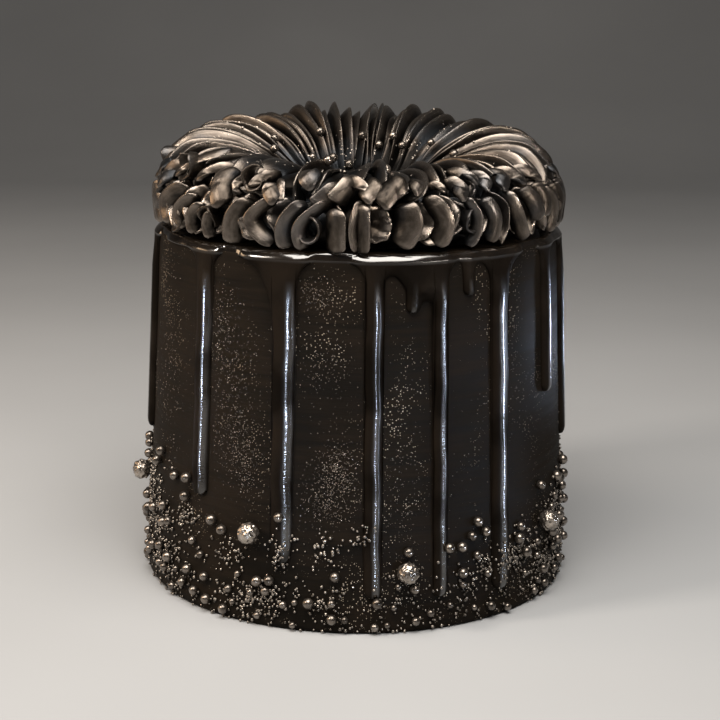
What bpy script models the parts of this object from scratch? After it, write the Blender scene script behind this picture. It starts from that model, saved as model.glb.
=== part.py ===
"""A tall round chocolate cake: dark coat, poured glaze with long drips, a piped wreath on top and sugar pearls.

The cake stands on z = 0 with its axis on Z. Its front faces -Y, and an angle is counted from the front towards +X.
Lengths are in metres, and angles are in degrees where a name says so.
"""

import math
import random

import bmesh
import bpy
from mathutils import Matrix, Vector

# Driving sizes
RIM_RADIUS = 0.081  # over the glaze, at the top edge
FOOT_RADIUS = 0.085  # over the coat, where the cake stands
TOP_HEIGHT = 0.140  # of the glaze's flat top
GLAZE_TOP_THICKNESS = 0.0018
GLAZE_SIDE_THICKNESS = 0.0016
CLEARANCE = 0.0004

# Coat
COAT_RADIUS_AT_TOP = RIM_RADIUS - GLAZE_SIDE_THICKNESS - CLEARANCE
COAT_HEIGHT = TOP_HEIGHT - GLAZE_TOP_THICKNESS - CLEARANCE
COAT_EDGE_ROUND = 0.0022
FOOT_EDGE_ROUND = 0.0012
COAT_SEGMENTS = 64

# Drips: (angle in degrees, height of the lower end). The last ones, round the back, follow a rule.
SEEN_DRIPS = [
    (-80.5, 0.058),
    (-44.5, 0.0445),
    (-18.9, 0.0245),
    (4.4, 0.0135),
    (21.8, 0.0125),
    (40.3, 0.0105),
    (62.6, 0.0800),
    (82.0, 0.056),
    (14.4, 0.1185),
    (30.3, 0.1235),
]
BACK_DRIPS = 7
BACK_DRIPS_FROM, BACK_DRIPS_TO = 107.0, 255.0
BACK_DRIP_LOWEST, BACK_DRIP_HIGHEST = 0.012, 0.075
DRIP_HALF_WIDTH = 0.0038
DRIP_THICKNESS = 0.0022
NARROWER_DRIPS = {3: 0.0032, 4: 0.0027, 8: 0.0026, 9: 0.0025}  # half widths, by the drip's place in the list
COLLAR_DEPTH = 0.0040
FILLET = 0.0065
WIDE_FUNNEL_DRIP, WIDE_FUNNEL = 2, 2.6  # this drip's funnel is so many times wider on its left
LOBE_ANGLE, LOBE_DEPTH = 18.0, 0.0125
WIDEST_COLUMN = 7.0  # degrees

# Piped wreath
RIDGES = 60
RIDGES_CLOSER = 0.08  # how much closer together they stand in front and behind than at the sides
MIDDLE_CREST = 0.0354
BACK_CREST_EXTRA = 0.00525
FRONT_AND_BACK_EXTRA = 0.0014
DIP_ANGLE, DIP_WIDTH, DIP_DEPTH = 13.0, 6.0, 0.0055
PINCH_HEIGHT = 0.0190
LOWER_CENTRE = (0.0690, 0.0095)
UPPER_CENTRE = (0.0560, 0.0200)
# The section of the ridges' crests, from the outer foot to the hole: (radius, height, depth of the gaps)
WREATH_SECTION = [
    (0.0765, 0.0010, 0.0040),
    (0.0808, 0.0050, 0.0075),
    (0.0810, 0.0125, 0.0075),
    (0.0768, 0.0190, 0.0050),
    (0.0772, 0.0245, 0.0075),
    (0.0705, 0.0315, 0.0075),
    (0.0600, 0.0354, 0.0070),
    (0.0480, 0.0340, 0.0060),
    (0.0350, 0.0270, 0.0045),
    (0.0225, 0.0170, 0.0022),
]
LOWER_ROWS = 3
CREST_SHARE = 0.42
FLOOR_SHARE = 0.26

# Sugar pearls
PEARL_RADIUS = 0.0020
PEARL_SUNK = 0.0005
# Clusters on the coat: (angle, height of the middle, spread in degrees, spread up, pearls). The last ones, round
# the back, follow a rule.
SEEN_CLUSTERS = [
    (-84.0, 0.0340, 5.0, 0.0180, 7),
    (-72.0, 0.0180, 6.0, 0.0120, 6),
    (-66.0, 0.0520, 2.0, 0.0030, 2),
    (-55.4, 0.0484, 0.3, 0.0003, 1),
    (-49.5, 0.0465, 1.5, 0.0050, 2),
    (-60.0, 0.0290, 4.0, 0.0060, 3),
    (-38.0, 0.0350, 3.0, 0.0020, 2),
    (-56.0, 0.0120, 8.0, 0.0080, 5),
    (-44.0, 0.0120, 3.0, 0.0060, 2),
    (-38.0, 0.0045, 4.0, 0.0010, 2),
    (-22.0, 0.0168, 3.0, 0.0030, 3),
    (-11.0, 0.0120, 1.0, 0.0030, 2),
    (-4.8, 0.0212, 2.5, 0.0015, 3),
    (-5.5, 0.0059, 0.5, 0.0005, 1),
    (13.3, 0.0309, 0.2, 0.0002, 1),
    (15.5, 0.0165, 1.0, 0.0010, 1),
    (27.2, 0.0310, 0.5, 0.0010, 1),
    (28.0, 0.0208, 1.4, 0.0008, 2),
    (30.4, 0.0339, 0.3, 0.0003, 1),
    (33.8, 0.0375, 1.8, 0.0030, 2),
    (36.4, 0.0049, 0.5, 0.0005, 1),
    (48.5, 0.0260, 2.0, 0.0070, 3),
    (57.9, 0.0458, 0.5, 0.0010, 1),
    (68.5, 0.0448, 1.0, 0.0010, 1),
    (75.0, 0.0340, 4.0, 0.0080, 4),
    (64.0, 0.0180, 6.0, 0.0100, 5),
    (84.0, 0.0300, 5.0, 0.0180, 6),
    (58.7, 0.0049, 3.0, 0.0010, 1),
]
BACK_CLUSTERS = 10
BACK_CLUSTERS_FROM, BACK_CLUSTERS_TO = 98.0, 262.0
TOP_PEARLS = [  # (angle in degrees, radius), on the wreath's inner slope
    (-154.0, 0.037),
    (178.0, 0.036),
    (166.0, 0.034),
    (157.0, 0.036),
    (-156.0, 0.026),
    (-171.0, 0.026),
    (125.0, 0.036),
    (-120.0, 0.040),
    (-95.0, 0.034),
    (80.0, 0.038),
]
BALL_RADIUS = 0.0041
BALLS = [  # (angle in degrees, height of the centre)
    (-84.0, 0.0385),
    (-26.6, 0.0360),
    (12.8, 0.0240),
    (58.5, 0.0310),
    (118.0, 0.0240),
    (176.0, 0.0360),
    (219.0, 0.0270),
]


def clear_scene():
    for old in list(bpy.data.objects):
        bpy.data.objects.remove(old, do_unlink=True)


def at(angle_degrees, radius, height):
    """The point at this angle from the front, towards +X."""
    angle = math.radians(angle_degrees)
    return Vector((radius * math.sin(angle), -radius * math.cos(angle), height))


def coat_radius(height):
    """The coat's face, which widens a little towards the foot."""
    share = min(max(height / COAT_HEIGHT, 0.0), 1.0)
    return FOOT_RADIUS + (COAT_RADIUS_AT_TOP - FOOT_RADIUS) * share


def turned_apart(first, second):
    """Degrees from the second angle to the first, between -180 and 180."""
    return (first - second + 180.0) % 360.0 - 180.0


def material(name, colour, roughness, metallic):
    finish = bpy.data.materials.new(name)
    finish.use_nodes = True
    shader = finish.node_tree.nodes["Principled BSDF"]
    shader.inputs["Base Color"].default_value = (*colour, 1.0)
    shader.inputs["Roughness"].default_value = roughness
    shader.inputs["Metallic"].default_value = metallic
    return finish


def add_object(name, points, faces, finish):
    mesh = bpy.data.meshes.new(name)
    mesh.from_pydata(points, [], faces)
    mesh.validate()
    built = bmesh.new()
    built.from_mesh(mesh)
    bmesh.ops.recalc_face_normals(built, faces=built.faces)
    built.to_mesh(mesh)
    built.free()
    mesh.shade_smooth()
    mesh.set_sharp_from_angle(angle=math.radians(40))
    mesh.materials.append(finish)
    made = bpy.data.objects.new(name, mesh)
    bpy.context.scene.collection.objects.link(made)
    return made


def turned_shell(rings, closed_rows):
    """Points and faces of a closed surface from rings of equal length.

    A ring of one point is a pole. With closed_rows the last ring joins the first.
    """
    points, starts = [], []
    for ring in rings:
        starts.append(len(points))
        points.extend(ring)
    faces = []
    count = max(len(ring) for ring in rings)
    pairs = list(range(len(rings) - 1)) + ([len(rings) - 1] if closed_rows else [])
    for row in pairs:
        after = (row + 1) % len(rings)
        a, b = starts[row], starts[after]
        for i in range(count):
            j = (i + 1) % count
            if len(rings[row]) == 1:
                faces.append((a, b + i, b + j))
            elif len(rings[after]) == 1:
                faces.append((a + i, b, a + j))
            else:
                faces.append((a + i, b + i, b + j, a + j))
    return points, faces


def small_sphere(radius, segments, bands, direction, centre):
    """A closed ball with few faces, its pole along direction."""
    built = bmesh.new()
    bmesh.ops.create_uvsphere(built, u_segments=segments, v_segments=bands, radius=radius)
    turn = direction.to_track_quat("Z", "Y").to_matrix().to_4x4()
    bmesh.ops.transform(built, matrix=Matrix.Translation(centre) @ turn, verts=built.verts)
    mesh = bpy.data.meshes.new("pearl")
    built.to_mesh(mesh)
    built.free()
    return mesh


def fuse(body, meshes):
    """Joins every mesh to the body with one Boolean union, and removes what it was made from."""
    group = bpy.data.collections.new(body.name + "_toppings")
    bpy.context.scene.collection.children.link(group)
    for number, mesh in enumerate(meshes):
        group.objects.link(bpy.data.objects.new(f"{body.name}_topping_{number}", mesh))
    union = body.modifiers.new("toppings", "BOOLEAN")
    union.operation = "UNION"
    union.operand_type = "COLLECTION"
    union.collection = group
    union.solver = "EXACT"
    graph = bpy.context.evaluated_depsgraph_get()
    joined = bpy.data.meshes.new_from_object(body.evaluated_get(graph))
    body.modifiers.clear()
    body.data = joined
    for topping in list(group.objects):
        bpy.data.objects.remove(topping, do_unlink=True)
    bpy.data.collections.remove(group)


# Glaze: a pool over the top that runs over the rim and down in drips


def all_drips():
    """Every drip as (angle in degrees, height of its end, half width)."""
    draw = random.Random(11)
    found = []
    for angle, end in SEEN_DRIPS:
        found.append((angle, end, DRIP_HALF_WIDTH * draw.uniform(0.94, 1.08)))
    for number, half_width in NARROWER_DRIPS.items():
        found[number] = (*found[number][:2], half_width)
    for number in range(BACK_DRIPS):
        share = number / (BACK_DRIPS - 1)
        angle = BACK_DRIPS_FROM + (BACK_DRIPS_TO - BACK_DRIPS_FROM) * share + draw.uniform(-3, 3)
        end = draw.uniform(BACK_DRIP_LOWEST, BACK_DRIP_HIGHEST)
        found.append((angle, end, DRIP_HALF_WIDTH * draw.uniform(0.9, 1.1)))
    return found


def collar_reach(angle):
    """How far the glaze's plain edge runs below the top, between the drips."""
    turn = math.radians(angle)
    wave = 0.0009 * math.sin(5 * turn + 1.0) + 0.0006 * math.sin(11 * turn)
    beside = turned_apart(angle, LOBE_ANGLE)
    lobe = LOBE_DEPTH * math.exp(-((beside / (8.0 if beside < 0 else 4.5)) ** 2))
    return COLLAR_DEPTH + wave + lobe


def beside_drip(angle, drip):
    """Metres along the rim from a drip's centre line."""
    return math.radians(turned_apart(angle, drip[0])) * RIM_RADIUS


def glaze_reach(angle, drips):
    """How far below the top the glaze runs at this angle: its edge, raised to each drip by a fillet."""
    reach = collar_reach(angle)
    fillets = 0.0
    for number, drip in enumerate(drips):
        side = beside_drip(angle, drip)
        offset = abs(side)
        length = TOP_HEIGHT - drip[1]
        if offset <= drip[2]:
            tip = drip[2] * (1 - math.sqrt(max(0.0, 1 - (offset / drip[2]) ** 2)))
            return max(reach, length - tip)
        rise = min(length * 0.35, 0.016)
        wide = WIDE_FUNNEL if number == WIDE_FUNNEL_DRIP and side < 0 else 1.0
        fillets += rise * math.exp(-(offset - drip[2]) / (0.42 * FILLET * wide))
    return reach + fillets


def glaze_thickness(angle, depth, drips):
    """Thickness on the side at this depth below the top: a film, with a round back on each drip."""
    swell = 0.0
    for drip in drips:
        offset = beside_drip(angle, drip) / (drip[2] * 1.25)
        if abs(offset) < 1 and depth <= TOP_HEIGHT - drip[1]:
            swell = max(swell, DRIP_THICKNESS * math.sqrt(1 - offset * offset))
    return max(GLAZE_SIDE_THICKNESS, swell)


def glaze_columns(drips):
    """The angles at which the glaze is drawn: close together across a drip, wide apart between drips."""
    steps = (-2.1, -1.35, -1.04, -0.98, -0.5, 0.5, 0.98, 1.04, 1.35, 2.1)
    found = []
    for drip in drips:
        for step in steps:
            found.append((drip[0] + math.degrees(step * drip[2] / RIM_RADIUS)) % 360.0)
    found.sort()
    apart = math.degrees(0.00016 / RIM_RADIUS)
    kept = []
    for angle in [*found, found[0] + 360.0]:
        last = kept[-1] if kept else angle - WIDEST_COLUMN
        if angle - last <= apart:
            continue
        extra = math.ceil((angle - last) / WIDEST_COLUMN) - 1
        for number in range(extra if kept else 0):
            kept.append(last + (angle - last) * (number + 1) / (extra + 1))
        kept.append(angle)
    return kept[:-1]


def build_glaze(finish):
    drips = all_drips()
    columns = glaze_columns(drips)
    edge_round = 0.0030
    down_the_side = (0.50, 0.94, 1.0)
    rings = [[at(0, 0, TOP_HEIGHT)]]
    rings.append([at(a, RIM_RADIUS - edge_round, TOP_HEIGHT) for a in columns])
    for turn in (45, 90):
        out = edge_round * math.sin(math.radians(turn))
        drop = edge_round * (1 - math.cos(math.radians(turn)))
        rings.append([at(a, RIM_RADIUS - edge_round + out, TOP_HEIGHT - drop) for a in columns])
    for share in down_the_side:
        ring = []
        for angle in columns:
            reach = glaze_reach(angle, drips)
            depth = edge_round + 0.0002 + (reach - edge_round - 0.0002) * share
            height = TOP_HEIGHT - depth
            thin = 0.35 if share == 1.0 else 1.0
            thick = glaze_thickness(angle, min(depth, reach - 0.0001), drips) * thin
            ring.append(at(angle, coat_radius(height) + CLEARANCE + thick, height))
        rings.append(ring)
    inner_edge = []
    for angle in columns:
        height = TOP_HEIGHT - glaze_reach(angle, drips)
        inner_edge.append(at(angle, coat_radius(height) + CLEARANCE, height))
    rings.append(inner_edge)
    inside_top = COAT_HEIGHT + CLEARANCE
    rings.append([at(a, coat_radius(COAT_HEIGHT) + CLEARANCE, inside_top) for a in columns])
    rings.append([at(0, 0, inside_top)])
    points, faces = turned_shell(rings, closed_rows=False)
    return add_object("glaze", points, faces, finish)


# Wreath: ridged shells piped side by side from the rim to the middle


def ridge_angle(number):
    """The ridges stand a little closer together in front and behind than at the sides."""
    even = 360.0 * number / RIDGES
    return even - math.degrees(RIDGES_CLOSER * math.sin(2 * math.radians(even)))


def crest_height(angle):
    """The wreath's highest point at this angle: low in front, high behind, with one dip in front."""
    turn = math.radians(angle)
    dip = DIP_DEPTH * math.exp(-((turned_apart(angle, DIP_ANGLE) / DIP_WIDTH) ** 2))
    return MIDDLE_CREST - BACK_CREST_EXTRA * math.cos(turn) + FRONT_AND_BACK_EXTRA * math.cos(2 * turn) - dip


def wreath_height(angle, height):
    """A height of the section, stretched above the pinch to reach the crest at this angle."""
    if height <= PINCH_HEIGHT:
        return height
    stretch = (crest_height(angle) - PINCH_HEIGHT) / (MIDDLE_CREST - PINCH_HEIGHT)
    return PINCH_HEIGHT + (height - PINCH_HEIGHT) * stretch


def ridge_sway(number, row):
    """How far a ridge wanders sideways at this row, as a share of the pitch: the two rolls lean apart."""
    turn = 2 * math.pi * number / RIDGES
    lower = 0.34 * math.sin(7 * turn + 0.6) + 0.12 * math.sin(13 * turn + 2.0)
    upper = 0.42 * math.sin(6 * turn + 2.4) + 0.14 * math.sin(15 * turn)
    if row < LOWER_ROWS:
        return lower * (1 - row / LOWER_ROWS)
    share = (row - LOWER_ROWS) / (len(WREATH_SECTION) - 1 - LOWER_ROWS)
    return upper * math.sin(math.pi * share)


def ridge_swell(number):
    """How far a ridge stands above or below its neighbours, in metres."""
    stroke = random.Random(77 + number // 4)
    own = random.Random(300 + number)
    return stroke.uniform(-0.0007, 0.0005) + own.uniform(-0.0006, 0.0006)


def ridge_point(angle, row, swell, sunk):
    """A point of the wreath's face: on a crest, or in the gap beside it where sunk is true."""
    radius, height, depth = WREATH_SECTION[row]
    centre = LOWER_CENTRE if row < LOWER_ROWS else UPPER_CENTRE
    inward = Vector((centre[0] - radius, centre[1] - height)).normalized()
    place = Vector((radius, height)) + inward * (depth if sunk else -swell)
    return place.x, max(wreath_height(angle, place.y), 0.0008)


def build_wreath(finish):
    floor = TOP_HEIGHT + CLEARANCE
    rings = []
    for row in range(len(WREATH_SECTION)):
        ring = []
        for number in range(RIDGES):
            here, after = ridge_angle(number), ridge_angle(number + 1)
            pitch = after - here
            middle = here + ridge_sway(number, row) * pitch
            next_middle = after + ridge_sway(number + 1, row) * pitch
            swell = ridge_swell(number)
            half_crest = CREST_SHARE / 2 * pitch
            gap_middle = (middle + next_middle) / 2
            half_floor = FLOOR_SHARE / 2 * pitch
            for angle, sunk in (
                (middle - half_crest, False),
                (middle + half_crest, False),
                (gap_middle - half_floor, True),
                (gap_middle + half_floor, True),
            ):
                radius, height = ridge_point(here, row, swell, sunk)
                ring.append(at(angle, radius, floor + height))
        rings.append(ring)
    inner_foot = WREATH_SECTION[-1][0] - 0.0030
    outer_foot = WREATH_SECTION[0][0] - 0.0060
    for radius in (inner_foot, outer_foot):
        ring = []
        for number in range(RIDGES):
            here, after = ridge_angle(number), ridge_angle(number + 1)
            for share in (-0.2, 0.2, 0.4, 0.6):
                ring.append(at(here + (after - here) * share, radius, floor))
        rings.append(ring)
    points, faces = turned_shell(rings, closed_rows=True)
    wreath = add_object("piped_wreath", points, faces, finish)
    pearls = []
    for angle, radius in TOP_PEARLS:
        number = min(range(RIDGES), key=lambda n: abs(turned_apart(ridge_angle(n), angle)))
        rows = [row for row in range(6, len(WREATH_SECTION) - 1) if WREATH_SECTION[row][0] >= radius]
        row = rows[-1]
        outer, inner = WREATH_SECTION[row], WREATH_SECTION[row + 1]
        share = (outer[0] - radius) / (outer[0] - inner[0])
        sway = ridge_sway(number, row) * (1 - share) + ridge_sway(number, row + 1) * share
        here = ridge_angle(number)
        pitch = ridge_angle(number + 1) - here
        first = ridge_point(here, row, ridge_swell(number), False)
        second = ridge_point(here, row + 1, ridge_swell(number), False)
        place = Vector(first) * (1 - share) + Vector(second) * share
        slope = Vector((first[0] - second[0], first[1] - second[1])).normalized()
        lifted = place + Vector((-slope.y, slope.x)) * (PEARL_RADIUS - PEARL_SUNK)
        centre = at(here + sway * pitch, lifted.x, floor + lifted.y)
        outward = at(here, -slope.y, slope.x)
        pearls.append(small_sphere(PEARL_RADIUS, 6, 3, outward, centre))
    fuse(wreath, pearls)
    return wreath


# Pearls


def is_clear(place, places, drips):
    """Whether a pearl here would keep clear of the drips, the balls and the pearls before it."""
    angle, height = place
    here = at(angle, FOOT_RADIUS, height)
    for drip in drips:
        beside = abs(beside_drip(angle, drip)) < drip[2] + PEARL_RADIUS + 0.0008
        if beside and height > drip[1] - PEARL_RADIUS - 0.001:
            return False
    if any((here - at(a, FOOT_RADIUS, h)).length < 0.0066 for a, h in BALLS):
        return False
    return all((here - at(a, FOOT_RADIUS, h)).length >= 0.0043 for a, h in places)


def pearl_places(drips):
    """Places on the coat, as (angle, height): each cluster's pearls are drawn about its middle and kept clear."""
    draw = random.Random(23)
    clusters = list(SEEN_CLUSTERS)
    for number in range(BACK_CLUSTERS):
        angle = BACK_CLUSTERS_FROM + (BACK_CLUSTERS_TO - BACK_CLUSTERS_FROM) * number / (BACK_CLUSTERS - 1)
        clusters.append((angle, draw.uniform(0.008, 0.034), 6.0, draw.uniform(0.005, 0.014), draw.randint(1, 3)))
    places = []
    for angle, height, spread, up, count in clusters:
        wanted = len(places) + count
        tries = 0
        while len(places) < wanted and tries < 300:
            tries += 1
            beside = angle + draw.uniform(-spread, spread)
            place = (beside, max(height + draw.uniform(-up, up), PEARL_RADIUS + 0.0004))
            if is_clear(place, places, drips):
                places.append(place)
    return places


def build_cake(finish):
    side = COAT_HEIGHT - COAT_EDGE_ROUND
    profile = [
        (FOOT_RADIUS - FOOT_EDGE_ROUND, 0.0),
        (FOOT_RADIUS, FOOT_EDGE_ROUND),
        (coat_radius(0.055), 0.055),
        (coat_radius(side), side),
        (coat_radius(side) - 0.3 * COAT_EDGE_ROUND, COAT_HEIGHT - 0.3 * COAT_EDGE_ROUND),
        (coat_radius(side) - COAT_EDGE_ROUND, COAT_HEIGHT),
    ]
    step = 360.0 / COAT_SEGMENTS
    rings = [[at(0, 0, 0)]]
    for radius, height in profile:
        rings.append([at(i * step, radius, height) for i in range(COAT_SEGMENTS)])
    rings.append([at(0, 0, COAT_HEIGHT)])
    points, faces = turned_shell(rings, closed_rows=False)
    cake = add_object("cake", points, faces, finish)
    pearls = []
    for angle, height in pearl_places(all_drips()):
        centre = at(angle, coat_radius(height) + PEARL_RADIUS - PEARL_SUNK, height)
        pearls.append(small_sphere(PEARL_RADIUS, 6, 3, at(angle, 1, 0), centre))
    fuse(cake, pearls)
    return cake


def build_balls(finish):
    for number, (angle, height) in enumerate(BALLS, start=1):
        built = bmesh.new()
        bmesh.ops.create_uvsphere(built, u_segments=8, v_segments=5, radius=BALL_RADIUS)
        mesh = bpy.data.meshes.new("ball")
        built.to_mesh(mesh)
        built.free()
        mesh.shade_smooth()
        mesh.materials.append(finish)
        ball = bpy.data.objects.new(f"crunch_ball_{number:02d}", mesh)
        ball.location = at(angle, coat_radius(height) + BALL_RADIUS + CLEARANCE, height)
        bpy.context.scene.collection.objects.link(ball)


clear_scene()
build_cake(material("coat", (0.020, 0.016, 0.013), 0.55, 0.0))
build_glaze(material("glaze", (0.012, 0.010, 0.009), 0.18, 0.0))
build_wreath(material("piped_cream", (0.100, 0.085, 0.072), 0.35, 0.7))
build_balls(material("sugar_pearl", (0.200, 0.190, 0.180), 0.25, 0.8))
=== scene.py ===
"""A tall black drip cake: satin butter cream, poured glaze, a piped wreath with pewter lustre, sugar pearls.

The cake stands on z = 0 with its axis on Z, and its front faces -Y. An angle is counted in degrees from the
front towards +X, and every length is in metres.
"""

import math
import random

import bmesh
import bpy
import numpy as np
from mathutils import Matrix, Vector
from mathutils.bvhtree import BVHTree


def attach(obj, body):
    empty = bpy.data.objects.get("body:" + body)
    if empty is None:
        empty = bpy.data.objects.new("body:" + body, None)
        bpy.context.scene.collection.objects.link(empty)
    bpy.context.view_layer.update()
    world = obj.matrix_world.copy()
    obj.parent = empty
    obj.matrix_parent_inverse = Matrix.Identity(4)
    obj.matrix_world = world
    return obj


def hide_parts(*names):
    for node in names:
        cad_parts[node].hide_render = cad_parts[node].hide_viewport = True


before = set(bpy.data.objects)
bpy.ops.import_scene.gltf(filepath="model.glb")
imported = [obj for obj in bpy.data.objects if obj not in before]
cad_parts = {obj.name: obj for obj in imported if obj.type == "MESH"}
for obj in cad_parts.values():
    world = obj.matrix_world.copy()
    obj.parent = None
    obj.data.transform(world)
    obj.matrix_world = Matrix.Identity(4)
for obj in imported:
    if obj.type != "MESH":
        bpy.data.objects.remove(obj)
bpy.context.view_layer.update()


# THE COAT
# Chocolate butter cream, coloured near black and spread on the sponge with a straight scraper. The scraper
# leaves faint level lines and a slightly uneven face, and a dry dusting of lustre leaves fine bright specks.

RIM_RADIUS = 0.081
FOOT_RADIUS = 0.085
TOP_HEIGHT = 0.140
COAT_RADIUS_AT_TOP = 0.0790
COAT_HEIGHT = 0.1386
COAT_EDGE = 0.0012
FOOT_EDGE_HEIGHT = 0.0012
FOOT_EDGE_INSET = 0.0010
COAT_BLACK = "#120F0B"
COAT_BROWN = "#1E1812"
COAT_SPECK = "#B9AB98"


def linear(hex_colour):
    """An sRGB hex colour as linear red, green and blue, by the standard curve, and full cover."""
    parts = [int(hex_colour[i : i + 2], 16) / 255 for i in (1, 3, 5)]
    curve = [c / 12.92 if c <= 0.04045 else ((c + 0.055) / 1.055) ** 2.4 for c in parts]
    return (*curve, 1.0)


def set_sockets(tree, node, sockets):
    """Links each socket whose value is another node's output, and sets any other socket to its value."""
    for socket, value in sockets.items():
        if isinstance(value, bpy.types.NodeSocket):
            tree.links.new(value, node.inputs[socket])
        else:
            node.inputs[socket].default_value = value


def add(tree, kind, sockets, stops=(), **settings):
    """Adds one node with its settings and sockets. A ramp also takes its stops as (position, hex colour)."""
    made = tree.nodes.new(kind)
    for name, value in settings.items():
        setattr(made, name, value)
    for number, (position, colour) in enumerate(stops):
        stop = made.color_ramp.elements[number] if number < 2 else made.color_ramp.elements.new(position)
        stop.position = position
        stop.color = linear(colour)
    set_sockets(tree, made, sockets)
    return made


def new_finish(name):
    """A material with its tree, its shader and a source of Object coordinates."""
    made = bpy.data.materials.new(name)
    made.use_nodes = True
    tree = made.node_tree
    shader = tree.nodes["Principled BSDF"]
    place = add(tree, "ShaderNodeTexCoord", {}).outputs["Object"]
    return made, tree, shader, place


def around(angles, radii, heights):
    """Points at angles in degrees from the front: x = r sin a, y = -r cos a, z = h."""
    turn = np.radians(angles)
    return np.stack(np.broadcast_arrays(radii * np.sin(turn), -radii * np.cos(turn), heights), axis=-1)


def coat_radius(heights):
    """The coat's radius falls evenly from the foot to the top."""
    share = np.clip(heights / COAT_HEIGHT, 0, 1)
    return FOOT_RADIUS + (COAT_RADIUS_AT_TOP - FOOT_RADIUS) * share


def ring_faces(rows, columns, closed_rows=False):
    """Four-sided faces of a grid whose columns run round and close. Rows close too where asked."""
    row = np.arange(rows if closed_rows else rows - 1)[:, None] * columns
    column = np.arange(columns)[None, :]
    after_row = (row + columns) % (rows * columns)
    after_column = (column + 1) % columns
    corners = row + column, after_row + column, after_row + after_column, row + after_column
    return np.stack(corners, axis=-1).reshape(-1, 4)


def pole_faces(columns, ring_start, pole, flipped):
    """Three-sided faces from a ring to one point."""
    here = np.arange(columns)
    after = (here + 1) % columns
    a, b = (after, here) if flipped else (here, after)
    return np.stack([np.full(columns, pole), a + ring_start, b + ring_start], axis=-1)


def add_piece(name, points, face_groups, finish, slot, *nodes):
    """Makes a smooth mesh at the origin, carried by the cake's one body."""
    mesh = bpy.data.meshes.new(name)
    faces = [face for group in face_groups for face in group.tolist()]
    mesh.from_pydata(points.reshape(-1, 3).tolist(), [], faces)
    mesh.shade_smooth()
    mesh.materials.append(finish)
    piece = bpy.data.objects.new(name, mesh)
    bpy.context.scene.collection.objects.link(piece)
    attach(piece, "root")
    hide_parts(*nodes)
    return piece


def butter_cream():
    """Butter cream smoothed with a scraper: low sheen, level drag lines 2.4 mm apart, specks up to 0.4 mm."""
    made, tree, shader, place = new_finish("scraped_dark_butter_cream")
    level = add(tree, "ShaderNodeMapping", {"Vector": place, "Scale": (30.0, 30.0, 420.0)})
    drawn = {"Vector": level.outputs[0], "Scale": 1.0, "Detail": 5.0, "Roughness": 0.6}
    drag = add(tree, "ShaderNodeTexNoise", drawn).outputs[0]
    clouded = {"Vector": place, "Scale": 26.0, "Detail": 4.0, "Roughness": 0.55}
    cloud = add(tree, "ShaderNodeTexNoise", clouded).outputs[0]
    patch = add(tree, "ShaderNodeTexNoise", {"Vector": place, "Scale": 38.0, "Detail": 3.0, "Roughness": 0.6})
    cells = add(tree, "ShaderNodeTexVoronoi", {"Vector": place, "Scale": 1300.0}, feature="F1")
    size = add(tree, "ShaderNodeMapRange", {0: patch.outputs[0], 1: 0.42, 2: 0.66, 3: 0.02, 4: 0.28})
    from_cell, of_cell = cells.outputs["Distance"], cells.outputs["Color"]
    inside = add(tree, "ShaderNodeMath", {0: from_cell, 1: size.outputs[0]}, operation="LESS_THAN").outputs[0]
    lucky = add(tree, "ShaderNodeSeparateColor", {0: of_cell}).outputs[0]
    chosen = add(tree, "ShaderNodeMath", {0: lucky, 1: 0.50}, operation="GREATER_THAN").outputs[0]
    specks = add(tree, "ShaderNodeMath", {0: inside, 1: chosen}, operation="MULTIPLY").outputs[0]
    amount = add(tree, "ShaderNodeMath", {0: cloud, 1: drag}, operation="MULTIPLY").outputs[0]
    stops = [(0.16, COAT_BLACK), (0.36, COAT_BROWN)]
    base = add(tree, "ShaderNodeValToRGB", {0: amount}, stops=stops).outputs[0]
    colour = add(tree, "ShaderNodeMix", {0: specks, 6: base, 7: linear(COAT_SPECK)}, data_type="RGBA")
    metal = add(tree, "ShaderNodeMath", {0: specks, 1: 0.8}, operation="MULTIPLY")
    rough = add(tree, "ShaderNodeMapRange", {0: drag, 1: 0.3, 2: 0.7, 3: 0.56, 4: 0.72})
    rise = add(tree, "ShaderNodeMath", {0: specks, 1: 0.8, 2: drag}, operation="MULTIPLY_ADD")
    bump = add(tree, "ShaderNodeBump", {"Height": rise.outputs[0], "Strength": 0.55, "Distance": 0.00022})
    sockets = {"Base Color": colour.outputs[2], "Metallic": metal.outputs[0], "Roughness": rough.outputs[0]}
    set_sockets(tree, shader, {**sockets, "Normal": bump.outputs[0], "IOR": 1.45, "Specular IOR Level": 0.07})
    return made


def coat_relief(angles, heights):
    """The scraper's unevenness: a few slow waves round and up the cake, up to 0.12 mm either way."""
    turn = np.radians(angles)
    wave = 0.5 * np.sin(3 * turn + 1.0 + 30 * heights)
    wave = wave + 0.3 * np.sin(7 * turn - 55 * heights + 0.4)
    wave = wave + 0.2 * np.sin(13 * turn + 140 * heights)
    return 0.00012 * wave


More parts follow.
